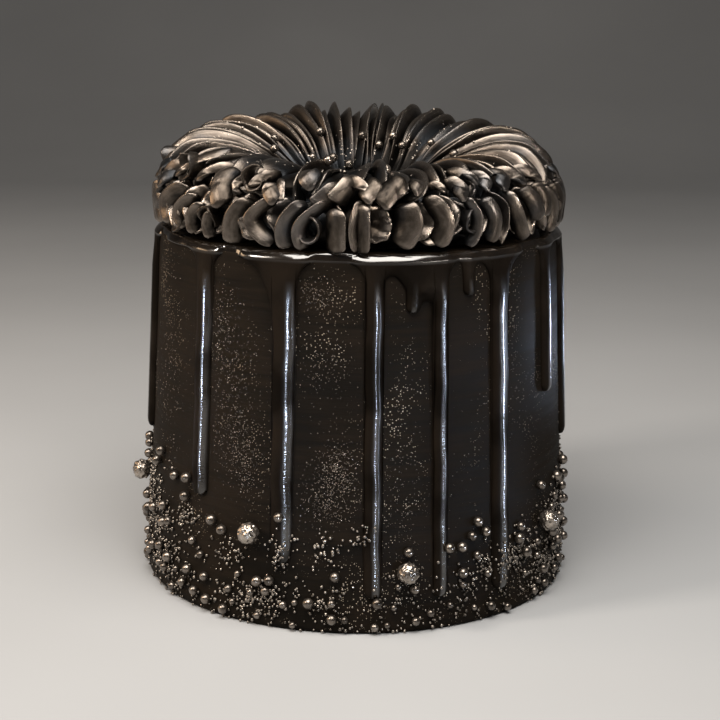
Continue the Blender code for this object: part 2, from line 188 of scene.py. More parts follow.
def make_coat():
    """A turned face: up the side with the scraper's relief, over a small round edge, closed at both ends."""
    columns = 420
    angles = np.arange(columns) * 360 / columns
    side = np.linspace(FOOT_EDGE_HEIGHT, COAT_HEIGHT - COAT_EDGE, 110)
    turn = np.linspace(0, math.pi / 2, 6)[1:]
    radii = [np.full(1, FOOT_RADIUS - FOOT_EDGE_INSET), coat_radius(side)]
    radii.append(coat_radius(side[-1]) - COAT_EDGE * (1 - np.cos(turn)))
    heights = [np.zeros(1), side, COAT_HEIGHT - COAT_EDGE * (1 - np.sin(turn))]
    radii, heights = np.concatenate(radii), np.concatenate(heights)
    relief = coat_relief(angles[None, :], heights[:, None])
    grid = around(angles[None, :], radii[:, None] + relief, heights[:, None])
    rows = len(radii)
    points = np.concatenate([grid.reshape(-1, 3), [[0, 0, 0], [0, 0, COAT_HEIGHT]]])
    total = rows * columns
    groups = [ring_faces(rows, columns)[:, ::-1]]
    groups.append(pole_faces(columns, 0, total, True))
    groups.append(pole_faces(columns, total - columns, total + 1, False))
    add_piece("butter_cream_coat", points, groups, butter_cream(), "butter_cream", "cake")


make_coat()


# THE GLAZE
# A dark chocolate glaze poured over the chilled top. It pools flat, rounds over the rim and runs down in
# straight drips of much the same width, which end in a round bead where they set.

SEEN_DRIPS = [
    (-80.5, 0.0580),
    (-44.5, 0.0445),
    (-18.9, 0.0245),
    (4.4, 0.0135),
    (21.8, 0.0125),
    (40.3, 0.0105),
    (62.6, 0.0800),
    (82.0, 0.0560),
    (14.4, 0.1185),
    (30.3, 0.1235),
]
BACK_DRIPS = 7
DRIP_HALF_WIDTH = 0.0038
DRIP_HEIGHT = 0.0026
FILM_HEIGHT = 0.0020
GLAZE_EDGE = 0.0026
RIM_ROUND = 0.0030
FILLET = 0.0085
SHORT_DRIP_FILLET = 0.0050
SHORT_DRIP_END = 0.1
# By the drip's place in the list: how far its top widens to the left, to the right, and over what length
FLARES = {1: (0.0020, 0.0010, 0.0060), 2: (0.0130, 0.0020, 0.0080), 5: (0.0050, 0.0070, 0.0050)}
HALF_WIDTHS = {3: 0.0032, 4: 0.0027, 8: 0.0026, 9: 0.0025}
CREST_SOFTNESS = 0.38
LUMP_ANGLE, LUMP_HEIGHT = 18.0, 0.1265
LOBE_DEPTH = 0.0125
GLAZE_INSET = 0.00005
UNDERSIDE_RADIUS, UNDERSIDE_HEIGHT = 0.070, 0.1365
GLAZE_BLACK = "#0F0C09"
GLAZE_BROWN = "#1B150F"


def all_drips():
    """Every drip as (angle, height of its end, half width), the unseen ones by the rule of the solids."""
    draw = random.Random(11)
    found = [(angle, end, DRIP_HALF_WIDTH * draw.uniform(0.94, 1.08)) for angle, end in SEEN_DRIPS]
    for number, half_width in HALF_WIDTHS.items():
        found[number] = (*found[number][:2], half_width)
    for number in range(BACK_DRIPS):
        angle = 107.0 + (255.0 - 107.0) * number / (BACK_DRIPS - 1) + draw.uniform(-3, 3)
        end = draw.uniform(0.012, 0.075)
        found.append((angle, end, DRIP_HALF_WIDTH * draw.uniform(0.9, 1.1)))
    return found


def apart(angles, angle):
    """Degrees from one angle to others, between -180 and 180."""
    return (angles - angle + 180) % 360 - 180


def joined(first, second, reach):
    """A smooth minimum of two distances: they melt into each other where they differ by less than reach."""
    blend = np.maximum(reach - np.abs(first - second), 0) / reach
    return np.minimum(first, second) - blend * blend * reach / 4


def across_drip(angles, heights, angle):
    """Distance from a drip's middle line, which sways by two sines of the height."""
    wobble = 0.00022 * np.sin(heights * 190 + angle) + 0.00009 * np.sin(heights * 430 + 2 * angle)
    return np.radians(apart(angles, angle)) * RIM_RADIUS - wobble


def glaze_distance(angles, heights, drips):
    """Distance to the glaze's edge, below zero inside: a level band joined with round-ended strips."""
    turn = np.radians(angles)
    edge = TOP_HEIGHT - GLAZE_EDGE - 0.0005 * np.sin(5 * turn + 1.0) - 0.0004 * np.sin(11 * turn)
    beside_lump = apart(angles, LUMP_ANGLE)
    edge = edge - LOBE_DEPTH * np.exp(-((beside_lump / np.where(beside_lump < 0, 8.0, 4.5)) ** 2))
    distance = edge - heights
    for number, (angle, end, half_width) in enumerate(drips):
        left, right, length = FLARES.get(number, (0.0, 0.0, 0.01))
        across = across_drip(angles, heights, angle)
        below = np.minimum(heights - (end + half_width), 0)
        flare = np.where(across < 0, left, right) * np.exp(-np.maximum(edge - heights, 0) / length)
        strip = np.hypot(np.maximum(np.abs(across) - flare, 0), below) - half_width
        distance = joined(distance, strip, FILLET if end < SHORT_DRIP_END else SHORT_DRIP_FILLET)
    return distance


def glaze_rise(angles, heights, drips):
    """How far the glaze stands off the coat: a steep edge, then low flanks up to a soft crest."""
    inside = np.clip(-glaze_distance(angles, heights, drips), 0, DRIP_HALF_WIDTH)
    share = 1 - inside / DRIP_HALF_WIDTH
    nearest = np.min([np.abs(apart(angles, drip[0])) for drip in drips], axis=0)
    on_drip = np.exp(-((np.radians(nearest) * RIM_RADIUS / (1.3 * DRIP_HALF_WIDTH)) ** 2))
    low = np.clip((TOP_HEIGHT - 0.006 - heights) / 0.010, 0, 1)
    full = FILM_HEIGHT + (DRIP_HEIGHT - FILM_HEIGHT) * on_drip * low
    lump = np.exp(-((apart(angles, LUMP_ANGLE) / 3.0) ** 2) - ((heights - LUMP_HEIGHT) / 0.0045) ** 2)
    lumps = 0.0010 * lump * (1 + 0.20 * np.sin(heights * 1300) * np.sin(np.radians(angles) * 90 + 1))
    full_tent = math.hypot(1, CREST_SOFTNESS) - CREST_SOFTNESS
    tent = (np.hypot(share, CREST_SOFTNESS) - CREST_SOFTNESS) / full_tent
    profile = 0.36 * (1 - tent) + 0.64 * np.sqrt(np.clip(1 - share**7, 0, 1))
    return full * profile + lumps * np.clip(inside / 0.002, 0, 1) * low


def glaze_columns(drips):
    """Angles at which the glaze is drawn: bunched at the edges of every drip, even in between."""
    across = np.sin(np.radians(np.linspace(-90, 90, 19)))
    beside = 1 + np.array([0.004, 0.06, 0.15, 0.28, 0.45, 0.65, 0.90, 1.2, 1.6, 2.1])
    steps = np.concatenate([-beside[::-1], across, beside])
    bunches = [drip[0] + np.degrees(steps * drip[2] / RIM_RADIUS) for drip in drips]
    angles = np.sort(np.concatenate([*bunches, np.arange(0, 360, 1.1)]) % 360)
    keep = np.concatenate([[True], np.diff(angles) > 0.008])
    return angles[keep]


# Where the set drips stay glossy: (share of the half width right of the middle, degrees the face turns there)
GLOSSY_LINES = {1: (0.6, 19.0), 2: (0.6, 19.0), 3: (0.25, 11.0), 4: (0.15, 8.0)}


def crest_mask(angles, heights, drips):
    """1 along a line near each drip's middle, 0 beside it and in the broad band below the rim."""
    beside = np.full(np.broadcast_shapes(angles.shape, heights.shape), 9.0)
    for number, (angle, _, half_width) in enumerate(drips):
        line = GLOSSY_LINES.get(number, (0.0, 0.0))[0]
        beside = np.minimum(beside, np.abs(across_drip(angles, heights, angle) / half_width - line))
    return np.clip((0.42 - beside) / 0.22, 0, 1) * np.clip((0.130 - heights) / 0.010, 0, 1)


def dark_glaze():
    """Chocolate glaze set at room temperature: near black with a faint brown cast. It stays glossy where it
    is thickest, on the rim and along the drips' crests, and dries to a satin skin where it is thin."""
    made, tree, shader, place = new_finish("set_dark_chocolate_glaze")
    cloud = add(tree, "ShaderNodeTexNoise", {"Vector": place, "Scale": 45.0, "Detail": 4.0}).outputs[0]
    level = add(tree, "ShaderNodeMapping", {"Vector": place, "Scale": (70.0, 70.0, 2300.0)}).outputs[0]
    fine = add(tree, "ShaderNodeTexNoise", {"Vector": level, "Scale": 1.0, "Detail": 2.0}).outputs[0]
    colour = add(tree, "ShaderNodeValToRGB", {0: cloud}, stops=[(0.35, GLAZE_BLACK), (0.65, GLAZE_BROWN)])
    up = add(tree, "ShaderNodeSeparateXYZ", {0: place}).outputs[2]
    crest = add(tree, "ShaderNodeAttribute", {}, attribute_name="crest").outputs["Fac"]
    rim = add(tree, "ShaderNodeMapRange", {0: up, 1: 0.1360, 2: 0.1380, 3: 0.0, 4: 1.0}).outputs[0]
    thick = add(tree, "ShaderNodeMath", {0: crest, 1: rim}, operation="MAXIMUM").outputs[0]
    smooth = add(tree, "ShaderNodeMapRange", {0: thick, 1: 0.0, 2: 1.0, 3: 0.50, 4: 0.06}).outputs[0]
    rough = add(tree, "ShaderNodeMath", {0: cloud, 1: 0.10, 2: smooth}, operation="MULTIPLY_ADD")
    breaks = add(tree, "ShaderNodeMapRange", {0: cloud, 1: 0.40, 2: 0.52, 3: 0.35, 4: 1.0}).outputs[0]
    gloss = add(tree, "ShaderNodeMapRange", {0: crest, 1: 0.0, 2: 1.0, 3: 0.05, 4: 1.0}).outputs[0]
    gloss = add(tree, "ShaderNodeMath", {0: breaks, 1: gloss}, operation="MULTIPLY").outputs[0]
    gloss = add(tree, "ShaderNodeMath", {0: rim, 1: gloss}, operation="MAXIMUM").outputs[0]
    below_collar = add(tree, "ShaderNodeMapRange", {0: up, 1: 0.020, 2: 0.125, 3: 1.5, 4: 0.30}).outputs[0]
    height = add(tree, "ShaderNodeMath", {0: fine, 1: below_collar}, operation="MULTIPLY").outputs[0]
    height = add(tree, "ShaderNodeMath", {0: height, 1: crest}, operation="MULTIPLY").outputs[0]
    bump = add(tree, "ShaderNodeBump", {"Height": height, "Strength": 1.0, "Distance": 0.00009})
    sockets = {"Base Color": colour.outputs[0], "Roughness": rough.outputs[0], "Specular IOR Level": gloss}
    set_sockets(tree, shader, {**sockets, "Normal": bump.outputs[0], "IOR": 1.56})
    return made


def store(piece, grid, **layers):
    """Keeps values at the mesh's points for its material to read, each spread over the grid of points."""
    for label, values in layers.items():
        spread = np.broadcast_to(values, grid).reshape(-1).astype(np.float32)
        piece.data.attributes.new(label, "FLOAT", "POINT").data.foreach_set("value", spread)


def make_glaze():
    """Rows run from the middle of the top over the rim and down to the glaze's edge, then back up inside."""
    drips = all_drips()
    angles = glaze_columns(drips)[None, :]
    columns = angles.shape[1]
    probe = np.arange(0.0085, TOP_HEIGHT - RIM_ROUND - 0.0003, 0.0001)[:, None]
    covered = glaze_distance(angles, probe, drips) < 0
    first_covered = probe[np.argmax(covered, axis=0), 0]
    lowest = np.where(covered.any(axis=0), first_covered, TOP_HEIGHT - RIM_ROUND - 0.0004)
    shares = [np.linspace(0, 0.22, 26)[:-1], np.linspace(0.22, 0.94, 34)[:-1], np.linspace(0.94, 1, 16)]
    shares = np.concatenate(shares)
    start = TOP_HEIGHT - RIM_ROUND
    heights = start - (start - lowest)[None, :] * shares[:, None]
    rise = glaze_rise(angles, heights, drips)
    rise[-1] = 0
    side = around(angles, coat_radius(heights) + rise - GLAZE_INSET, heights)
    outer = (coat_radius(start) + rise[0])[None, :]
    turn = np.radians(np.linspace(0, 90, 15))[:-1, None]
    inner_radius = RIM_RADIUS - RIM_ROUND
    round_rim = np.radians(angles)
    wave = 0.06 * np.sin(round_rim * 9 + 0.5) + 0.05 * np.sin(round_rim * 23) + 0.03 * np.sin(round_rim * 41)
    outwards, upwards = np.sin(turn) ** (1.28 + wave), np.cos(turn) ** (1.28 + wave)
    arc = around(angles, inner_radius + (outer - inner_radius) * outwards, start + RIM_ROUND * upwards)
    flat_radii = np.array([0.006, 0.020, 0.040, 0.060, 0.072])[:, None]
    ripple = 0.00012 * np.sin(round_rim * 4 + flat_radii * 300)
    flat = around(angles, flat_radii, TOP_HEIGHT - 0.0001 + ripple)
    hidden_radius = coat_radius(TOP_HEIGHT) - 0.0008
    back = [
        around(angles, coat_radius(lowest)[None, :] - 0.0006, lowest[None, :] + 0.0004),
        around(angles, np.full((1, columns), hidden_radius), np.maximum(lowest[None, :] + 0.0008, 0.1330)),
        around(angles, np.full((1, columns), UNDERSIDE_RADIUS), np.full((1, columns), UNDERSIDE_HEIGHT)),
    ]
    grid = np.concatenate([flat, arc, side, *back])
    rows = grid.shape[0]
    total = rows * columns
    points = np.concatenate([grid.reshape(-1, 3), [[0, 0, TOP_HEIGHT], [0, 0, UNDERSIDE_HEIGHT]]])
    groups = [ring_faces(rows, columns)]
    groups.append(pole_faces(columns, 0, total, False))
    groups.append(pole_faces(columns, total - columns, total + 1, True))
    piece = add_piece("poured_glaze", points, groups, dark_glaze(), "glaze", "glaze")
    crest = np.zeros(len(points))
    first = (flat.shape[0] + arc.shape[0]) * columns
    crest[first : first + heights.size] = crest_mask(angles, heights, drips).reshape(-1)
    store(piece, len(points), crest=crest)


make_glaze()


# THE WREATH
# Stiff butter cream piped with a large star tip in short strokes from the rim inwards, in two rolls, so its
# grooves stand up as thin curling blades. It is chilled and painted with a pewter lustre. The lustre's colour
# is darkened towards the blades' roots, in the core and down the hole as painted shade, and lightened at the
# lips as a painted highlight.

WREATH_FLOOR = TOP_HEIGHT + 0.0001
MIDDLE_CREST = 0.0354
BACK_CREST_EXTRA = 0.00525
FRONT_AND_BACK_EXTRA = 0.0014
DIP_ANGLE, DIP_WIDTH, DIP_DEPTH = 13.0, 6.0, 0.0055
PINCH_HEIGHT = 0.0190
LOWER_SECTION = [  # (distance from the axis, height above the glaze)
    (0.0795, 0.0004),
    (0.0806, 0.0036),
    (0.0811, 0.0090),
    (0.0802, 0.0150),
    (0.0770, 0.0195),
    (0.0715, 0.0215),
]
UPPER_SECTION = [
    (0.0745, 0.0160),
    (0.0768, 0.0195),
    (0.0762, 0.0250),
    (0.0725, 0.0305),
    (0.0665, 0.0350),
    (0.0570, 0.0358),
    (0.0470, 0.0335),
    (0.0370, 0.0280),
    (0.0290, 0.0215),
    (0.0225, 0.0165),
    (0.0200, 0.0110),
]
CORE_SECTION = [
    (0.0690, 0.0002),
    (0.0725, 0.0040),
    (0.0728, 0.0110),
    (0.0690, 0.0175),
    (0.0700, 0.0225),
    (0.0655, 0.0265),
    (0.0570, 0.0275),
    (0.0470, 0.0270),
    (0.0370, 0.0232),
    (0.0290, 0.0185),
    (0.0235, 0.0130),
    (0.0225, 0.0060),
    (0.0215, 0.0002),
]
LEAN_FLIPS_AT = -10.0
BEHIND_RIBBONS = 0.0018
LOWER_CENTRE = (0.0690, 0.0095)
UPPER_CENTRE = (0.0560, 0.0190)
PEWTER_LIGHT = "#8A8077"
PEWTER_MID = "#4B443D"
PEWTER_DARK = "#15120F"
PEWTER_COOL = "#474C52"


def crest_height(angles):
    """The wreath's highest point at each angle: low in front, high behind, with one dip in front."""
    turn = np.radians(angles)
    dip = DIP_DEPTH * np.exp(-((apart(angles, DIP_ANGLE) / DIP_WIDTH) ** 2))
    return MIDDLE_CREST - BACK_CREST_EXTRA * np.cos(turn) + FRONT_AND_BACK_EXTRA * np.cos(2 * turn) - dip


def wreath_height(angles, heights):
    """A height of the section, stretched above the pinch to reach the crest at that angle."""
    stretch = (crest_height(angles) - PINCH_HEIGHT) / (MIDDLE_CREST - PINCH_HEIGHT)
    return np.where(heights > PINCH_HEIGHT, PINCH_HEIGHT + (heights - PINCH_HEIGHT) * stretch, heights)


def on_glaze(distances):
    """The lowest height that keeps the wreath on the glaze, which falls away over the rounded rim."""
    return 0.0002 - 0.30 * np.maximum(distances - 0.0775, 0)


def smooth_path(corners, count):
    """A curve through the corners: each stretch is a cubic whose slopes follow the corners beside it."""
    spots = np.array(corners, float)
    ends = np.concatenate([[2 * spots[0] - spots[1]], spots, [2 * spots[-1] - spots[-2]]])
    along = np.linspace(0, len(spots) - 1, count)
    piece = np.minimum(along.astype(int), len(spots) - 2)
    share = (along - piece)[:, None]
    a, b, c, d = (ends[piece + offset] for offset in range(4))
    cubic = 2 * b + (c - a) * share + (2 * a - 5 * b + 4 * c - d) * share**2
    return (cubic + (3 * b - a - 3 * c + d) * share**3) / 2


def ridge_angles(count, shift, wider):
    """Angles round the wreath, wider apart in front than behind by the share given."""
    even = 2 * math.pi * (np.arange(count) + shift) / count
    return np.degrees(even + wider * np.sin(even))


def repeated(groups, count, size):
    """The faces of count like meshes of size points each, which follow one another in one mesh."""
    starts = (np.arange(count) * size)[:, None, None]
    return [(group[None] + starts).reshape(-1, group.shape[1]) for group in groups]


def tube_faces(count, rows, ring):
    """The faces of count closed tubes: their sides, then one many-sided cap at each end."""
    end = np.arange(ring)[None, :]
    return repeated([ring_faces(rows, ring), end, end[:, ::-1] + (rows - 1) * ring], count, rows * ring)


def make_blades(name, section, centre, count, shift, shape, seed, finish):
    """Closed blades along a section's path, in strokes of three.

    A blade's cross-section is a fin: a thin lip that thickens towards its foot as (1 - height share) to a
    power. Its middle line leans and curls to one side, by lean times height plus curl times height to the
    power 2.5, and the lean turns along the path. The fin is carried along the path, standing off the roll's
    centre. A stroke's blades spread apart in the middle of the path and close up at its ends, and the whole
    stroke slants and bows.
    """
    draw = np.random.default_rng(seed)
    rows = shape["rows"]
    along = np.linspace(0, 1, rows)
    which = np.arange(count) // 3
    stroke = draw.uniform(-1, 1, (which.max() + 1, 12))[which]
    own = draw.uniform(-1, 1, (count, 12))
    middles = ridge_angles(count, shift, shape["wider"])
    pitch = 360 / count
    head = 0.035 * (1 + stroke[:, 6]) + 0.02 * (1 + own[:, 8])
    tail = 1 - shape["tail"] * (1 + stroke[:, 7]) - 0.02 * (1 + own[:, 9])
    fine = smooth_path(section, 201)
    at_share = (head[:, None] + (tail - head)[:, None] * along[None, :]) * 200
    path = np.stack([np.interp(at_share, np.arange(201), fine[:, axis]) for axis in (0, 1)], axis=-1)
    outward = path - np.array(centre)
    outward /= np.linalg.norm(outward, axis=-1, keepdims=True)
    from_flip = np.radians(middles - LEAN_FLIPS_AT)
    turned = np.tanh(5 * np.sin(from_flip)) * (0.10 + 0.90 * np.cos(from_flip) ** 6)
    lean = shape["lean"] * (turned + 0.5 * stroke[:, 0] + 0.35 * own[:, 0])
    twist = shape["twist"] * (0.8 * stroke[:, 8] + 0.5 * own[:, 10])
    curl = shape["curl"] * (turned + 0.6 * stroke[:, 5] + 0.5 * own[:, 5])
    bow = shape["sway"] * (turned + 0.8 * stroke[:, 1] + 0.3 * own[:, 1])
    slant = shape["slant"] * (stroke[:, 2] + 0.25 * own[:, 2])
    spread = shape["fan"] * (0.6 + 0.4 * stroke[:, 9]) * (np.arange(count) % 3 - 1)
    tall = shape["depth"] * (1 + 0.10 * stroke[:, 3] + 0.12 * own[:, 3])
    recess = 1.3 * (np.arange(count) % 3 == 1)
    behind_ribbons = BEHIND_RIBBONS * np.clip((np.cos(np.radians(middles)) - 0.2) / 0.3, 0, 1)
    proud = shape["proud"] * (0.55 * own[:, 4] + 0.60 * stroke[:, 4] - recess) - behind_ribbons
    rise = np.interp(along, shape["rise_at"], shape["rise"])
    thick = np.interp(along, shape["rise_at"], shape["thick"])
    levels = np.array([0.0, 0.22, 0.42, 0.6, 0.76, 0.88, 0.96])
    foot = (1 - levels) ** 2.2
    lip = np.sqrt(1 - levels**6)
    profile_level = np.concatenate([levels, [1.0], levels[::-1]])
    profile_foot = np.concatenate([-foot, [0.0], foot[::-1]])
    profile_lip = np.concatenate([-lip, [0.0], lip[::-1]])
    bulge = np.sin(math.pi * (0.06 + 0.88 * along)) - 0.5
    turned_by = (bow + spread)[:, None] * bulge[None, :] + slant[:, None] * (along[None, :] - 0.5)
    angle = middles[:, None] + pitch * (turned_by - 0.5 * spread[:, None])
    depth = tall[:, None] * rise[None, :]
    half_lip = 0.5 * shape["lip"] * (1 + 0.5 * own[:, 6:7]) * thick[None, :]
    ripple = 0.0003 * np.sin(along[None, :] * (11 + 5 * own[:, 1:2]) + 6 * own[:, 2:3])
    edge = 0.0004 * np.sin(along[None, :] * (17 + 6 * own[:, 3:4]) + 9 * own[:, 7:8])
    reach = depth[..., None] * (profile_level - 1) + (proud[:, None] + edge)[..., None] * profile_level
    radius = path[..., 0][..., None] + outward[..., 0][..., None] * reach
    height = path[..., 1][..., None] + outward[..., 1][..., None] * reach
    foot_width = np.radians(pitch) * path[..., 0] * 0.5 * shape["foot"]
    leaning = lean[:, None] + twist[:, None] * (along[None, :] - 0.5)
    bend = leaning[..., None] * profile_level + curl[:, None, None] * profile_level**2.5
    across = (
        profile_foot * foot_width[..., None]
        + profile_lip * half_lip[..., None]
        + depth[..., None] * bend
        + ripple[..., None] * profile_level
    )
    place_angle = angle[..., None] + np.degrees(across / np.maximum(path[..., 0], 0.02)[..., None])
    height = wreath_height(middles[:, None, None], height)
    points = around(place_angle, radius, WREATH_FLOOR + np.maximum(height, on_glaze(radius)))
    ring = len(profile_level)
    piece = add_piece(name, points, tube_faces(count, rows, ring), finish, "piped_cream", "piped_wreath")
    number = np.arange(count)[:, None, None] / count
    # The level runs from a blade's root to its lip; by it the lustre darkens the root as painted shade and
    # lightens the lip as a painted highlight.
    store(piece, (count, rows, ring), along=along[:, None], level=profile_level, number=number)


def pewter_lustre(name, streaked, core_shade=0.05, light=PEWTER_LIGHT, mid=PEWTER_MID, dark=PEWTER_DARK):
    """Lustre dust in alcohol brushed on firm butter cream, with a sandy grain of 0.3 mm and streaks along the
    piping. Its colour is darkened towards the blades' roots and down the hole as painted shade, and lightened
    at the lips as a painted highlight."""
    made, tree, shader, place = new_finish(name)
    grain_sockets = {"Vector": place, "Scale": 1500.0, "Detail": 2.0, "Roughness": 0.7}
    grain = add(tree, "ShaderNodeTexNoise", grain_sockets).outputs[0]
    wear = add(tree, "ShaderNodeTexNoise", {"Vector": place, "Scale": 120.0, "Detail": 5.0, "Roughness": 0.6})
    if streaked:
        labels = ("along", "level", "number")
        layers = [add(tree, "ShaderNodeAttribute", {}, attribute_name=label) for label in labels]
        along, level, number = (layer.outputs["Fac"] for layer in layers)
        on_blade = add(tree, "ShaderNodeCombineXYZ", {0: along, 1: level, 2: number}).outputs[0]
        drawn = add(tree, "ShaderNodeMapping", {"Vector": on_blade, "Scale": (4.0, 9.0, 900.0)}).outputs[0]
        streak = add(tree, "ShaderNodeTexNoise", {"Vector": drawn, "Scale": 1.0, "Detail": 4.0}).outputs[0]
        # By the level, the colour is darkened towards a blade's root as painted shade and lightened at its
        # lip as a painted highlight; cover adds this to the streaks.
        painted_lip_light_and_root_shade = add(tree, "ShaderNodeMapRange", {0: level, 1: 0.40, 2: 1.0, 3: -0.12, 4: 0.34}).outputs[0]
        cover = add(tree, "ShaderNodeMath", {0: streak, 1: 0.35, 2: painted_lip_light_and_root_shade}, operation="MULTIPLY_ADD")
        rise = add(tree, "ShaderNodeMath", {0: streak, 1: 0.4, 2: grain}, operation="MULTIPLY_ADD")
        height = rise.outputs[0]
    else:
        cover = add(tree, "ShaderNodeMath", {0: grain, 1: 0.35, 2: core_shade}, operation="MULTIPLY_ADD")
        height = grain
    cover = cover.outputs[0]
    wear_and_painted_shade = add(tree, "ShaderNodeMath", {0: wear.outputs[0], 1: 0.5, 2: cover}, operation="MULTIPLY_ADD")
    # Painted shade: the colour is darkened within 43 mm of the axis, down the hole.
    flat = add(tree, "ShaderNodeVectorMath", {0: place, 1: (1.0, 1.0, 0.0)}, operation="MULTIPLY").outputs[0]
    out = add(tree, "ShaderNodeVectorMath", {0: flat}, operation="LENGTH").outputs["Value"]
    painted_shade_down_the_hole = add(tree, "ShaderNodeMapRange", {0: out, 1: 0.026, 2: 0.043, 3: -0.5, 4: 0.0}).outputs[0]
    amount = add(tree, "ShaderNodeMath", {0: wear_and_painted_shade.outputs[0], 1: painted_shade_down_the_hole}, operation="ADD").outputs[0]
    stops = [(0.30, dark), (0.50, mid), (0.85, light)]
    warm = add(tree, "ShaderNodeValToRGB", {0: amount}, stops=stops).outputs[0]
    cast = add(tree, "ShaderNodeTexNoise", {"Vector": place, "Scale": 42.0, "Detail": 2.0}).outputs[0]
    cool = add(tree, "ShaderNodeMapRange", {0: cast, 1: 0.50, 2: 0.68, 3: 0.0, 4: 0.50}).outputs[0]
    colour = add(tree, "ShaderNodeMix", {0: cool, 6: warm, 7: linear(PEWTER_COOL)}, data_type="RGBA")
    rough = add(tree, "ShaderNodeMapRange", {0: amount, 1: 0.3, 2: 0.8, 3: 0.42, 4: 0.24})
    bump = add(tree, "ShaderNodeBump", {"Height": height, "Strength": 0.5, "Distance": 0.00025})
    sockets = {"Base Color": colour.outputs[2], "Roughness": rough.outputs[0], "Metallic": 0.92}
    set_sockets(tree, shader, {**sockets, "Normal": bump.outputs[0]})
    return made


def make_wreath_core():
    """The cream behind the blades: both rolls drawn in by the blades' depth, as one closed ring."""
    rows, columns = 60, 360
    path = smooth_path(CORE_SECTION, rows)
    angles = (np.arange(columns) * 360 / columns)[None, :]
    heights = wreath_height(angles, np.maximum(path[:, 1:2], 0.0001))
    points = around(angles, path[:, 0:1], WREATH_FLOOR + heights)
    faces = ring_faces(rows, columns, closed_rows=True)[:, ::-1]
    # The core takes the lustre 0.25 darker, as painted shade between the blades.
    finish = pewter_lustre("groove_lustre_with_painted_shade", False, -0.25)
    add_piece("wreath_core", points, [faces], finish, "piped_cream", "piped_wreath")


blade_finish = pewter_lustre("brushed_pewter_lustre", True)
# The upper roll's lustre is a darker copy of the blades' lustre, as painted shade.
upper_finish = pewter_lustre("pewter_lustre_darkened_as_painted_shade", True, 0.0, "#787068", "#39332E", "#0E0C0A")
lower_shape = {
    "rows": 26,
    "wider": 0.16,
    "depth": 0.0100,
    "foot": 0.44,
    "lip": 0.0019,
    "lean": 0.58,
    "twist": 0.45,
    "curl": 0.24,
    "sway": 0.85,
    "slant": 0.90,
    "fan": 0.25,
    "proud": 0.0019,
    "tail": 0.06,
    "rise_at": (0.0, 0.12, 0.3, 0.7, 0.88, 1.0),
    "rise": (0.70, 0.95, 1.0, 1.0, 0.8, 0.5),
    "thick": (1.3, 1.3, 1.0, 1.0, 0.9, 0.7),
}
upper_shape = {
    "rows": 46,
    "wider": 0.22,
    "depth": 0.0098,
    "foot": 0.42,
    "lip": 0.0017,
    "lean": 0.58,
    "twist": 0.50,
    "curl": 0.24,
    "sway": 1.00,
    "slant": 1.20,
    "fan": 0.30,
    "proud": 0.0018,
    "tail": 0.05,
    "rise_at": (0.0, 0.1, 0.22, 0.55, 0.8, 1.0),
    "rise": (0.50, 0.92, 1.0, 0.75, 0.5, 0.3),
    "thick": (1.3, 1.4, 1.1, 0.8, 0.6, 0.6),
}
make_wreath_core()
make_blades("wreath_lower_blades", LOWER_SECTION, LOWER_CENTRE, 60, 0.0, lower_shape, 5, blade_finish)
make_blades("wreath_upper_blades", UPPER_SECTION, UPPER_CENTRE, 66, 0.45, upper_shape, 8, upper_finish)

# (angle, height above the glaze, radius of the curl, turned by, distance of its mouth from the axis)
SEEN_CURLS = [
    (-12.5, 0.0088, 0.0046, 200.0, 0.0822),
    (-29.0, 0.0262, 0.0044, 60.0, 0.0790),
    (-58.0, 0.0290, 0.0056, 150.0, 0.0775),
    (-44.0, 0.0090, 0.0040, 320.0, 0.0815),
    (31.0, 0.0100, 0.0040, 20.0, 0.0815),
]
BACK_CURLS = 7
CURL_HALF_DEPTH = 0.0038
CURL_HALF_THICKNESS = 0.00065


def make_curls(finish):
    """Cream that rolled over on itself: a band of 1.3 mm, 7.6 mm deep, carried 290 degrees round a spiral.

    The band's edge faces outwards, so the curl is an open tube that points away from the axis. Its radius
    shrinks along the spiral, and its depth falls to nothing at both ends.
    """
    draw = random.Random(3)
    curls = list(SEEN_CURLS)
    for number in range(BACK_CURLS):
        angle = 75.0 + 230.0 * number / (BACK_CURLS - 1) + draw.uniform(-8, 8)
        low = number % 2 == 0
        height = draw.uniform(0.007, 0.011) if low else draw.uniform(0.025, 0.030)
        radius, turned_by, out = draw.uniform(0.0038, 0.0050), draw.uniform(0, 360), 0.0815 if low else 0.0780
        curls.append((angle, height, radius, turned_by, out))
    centre_angle, centre_height, size, start, mouth = (np.array(part)[:, None, None] for part in zip(*curls))
    rows, ring = 36, 12
    along = np.linspace(0, 1, rows)[None, :, None]
    corners = np.radians(np.arange(0, 360, 360 / ring))[None, None, :]
    turn = np.radians(start + 290 * along)
    spiral = size * (1.0 - 0.38 * along)
    swell = np.sin(math.pi * (0.08 + 0.84 * along)) ** 0.6
    deep = CURL_HALF_DEPTH * np.sign(np.sin(corners)) * np.abs(np.sin(corners)) ** 0.6 * swell
    thick = CURL_HALF_THICKNESS * np.sign(np.cos(corners)) * np.abs(np.cos(corners)) ** 0.6 * swell
    flare = 1 + 0.10 * np.sin(corners)
    sideways = (spiral * flare + thick) * np.cos(turn)
    upwards = (spiral * flare + thick) * np.sin(turn) * 1.15
    radius = mouth - CURL_HALF_DEPTH + deep + 0.0006 * np.sin(3 * turn)
    height = wreath_height(centre_angle, centre_height) + upwards
    angle = centre_angle + np.degrees(sideways / mouth)
    points = around(angle, radius, WREATH_FLOOR + np.maximum(height, 0.0003))
    groups = [group[:, ::-1] for group in tube_faces(len(curls), rows, ring)]
    add_piece("wreath_curls", points, groups, finish, "piped_cream", "piped_wreath")


make_curls(pewter_lustre("lustre_on_the_curls", False))

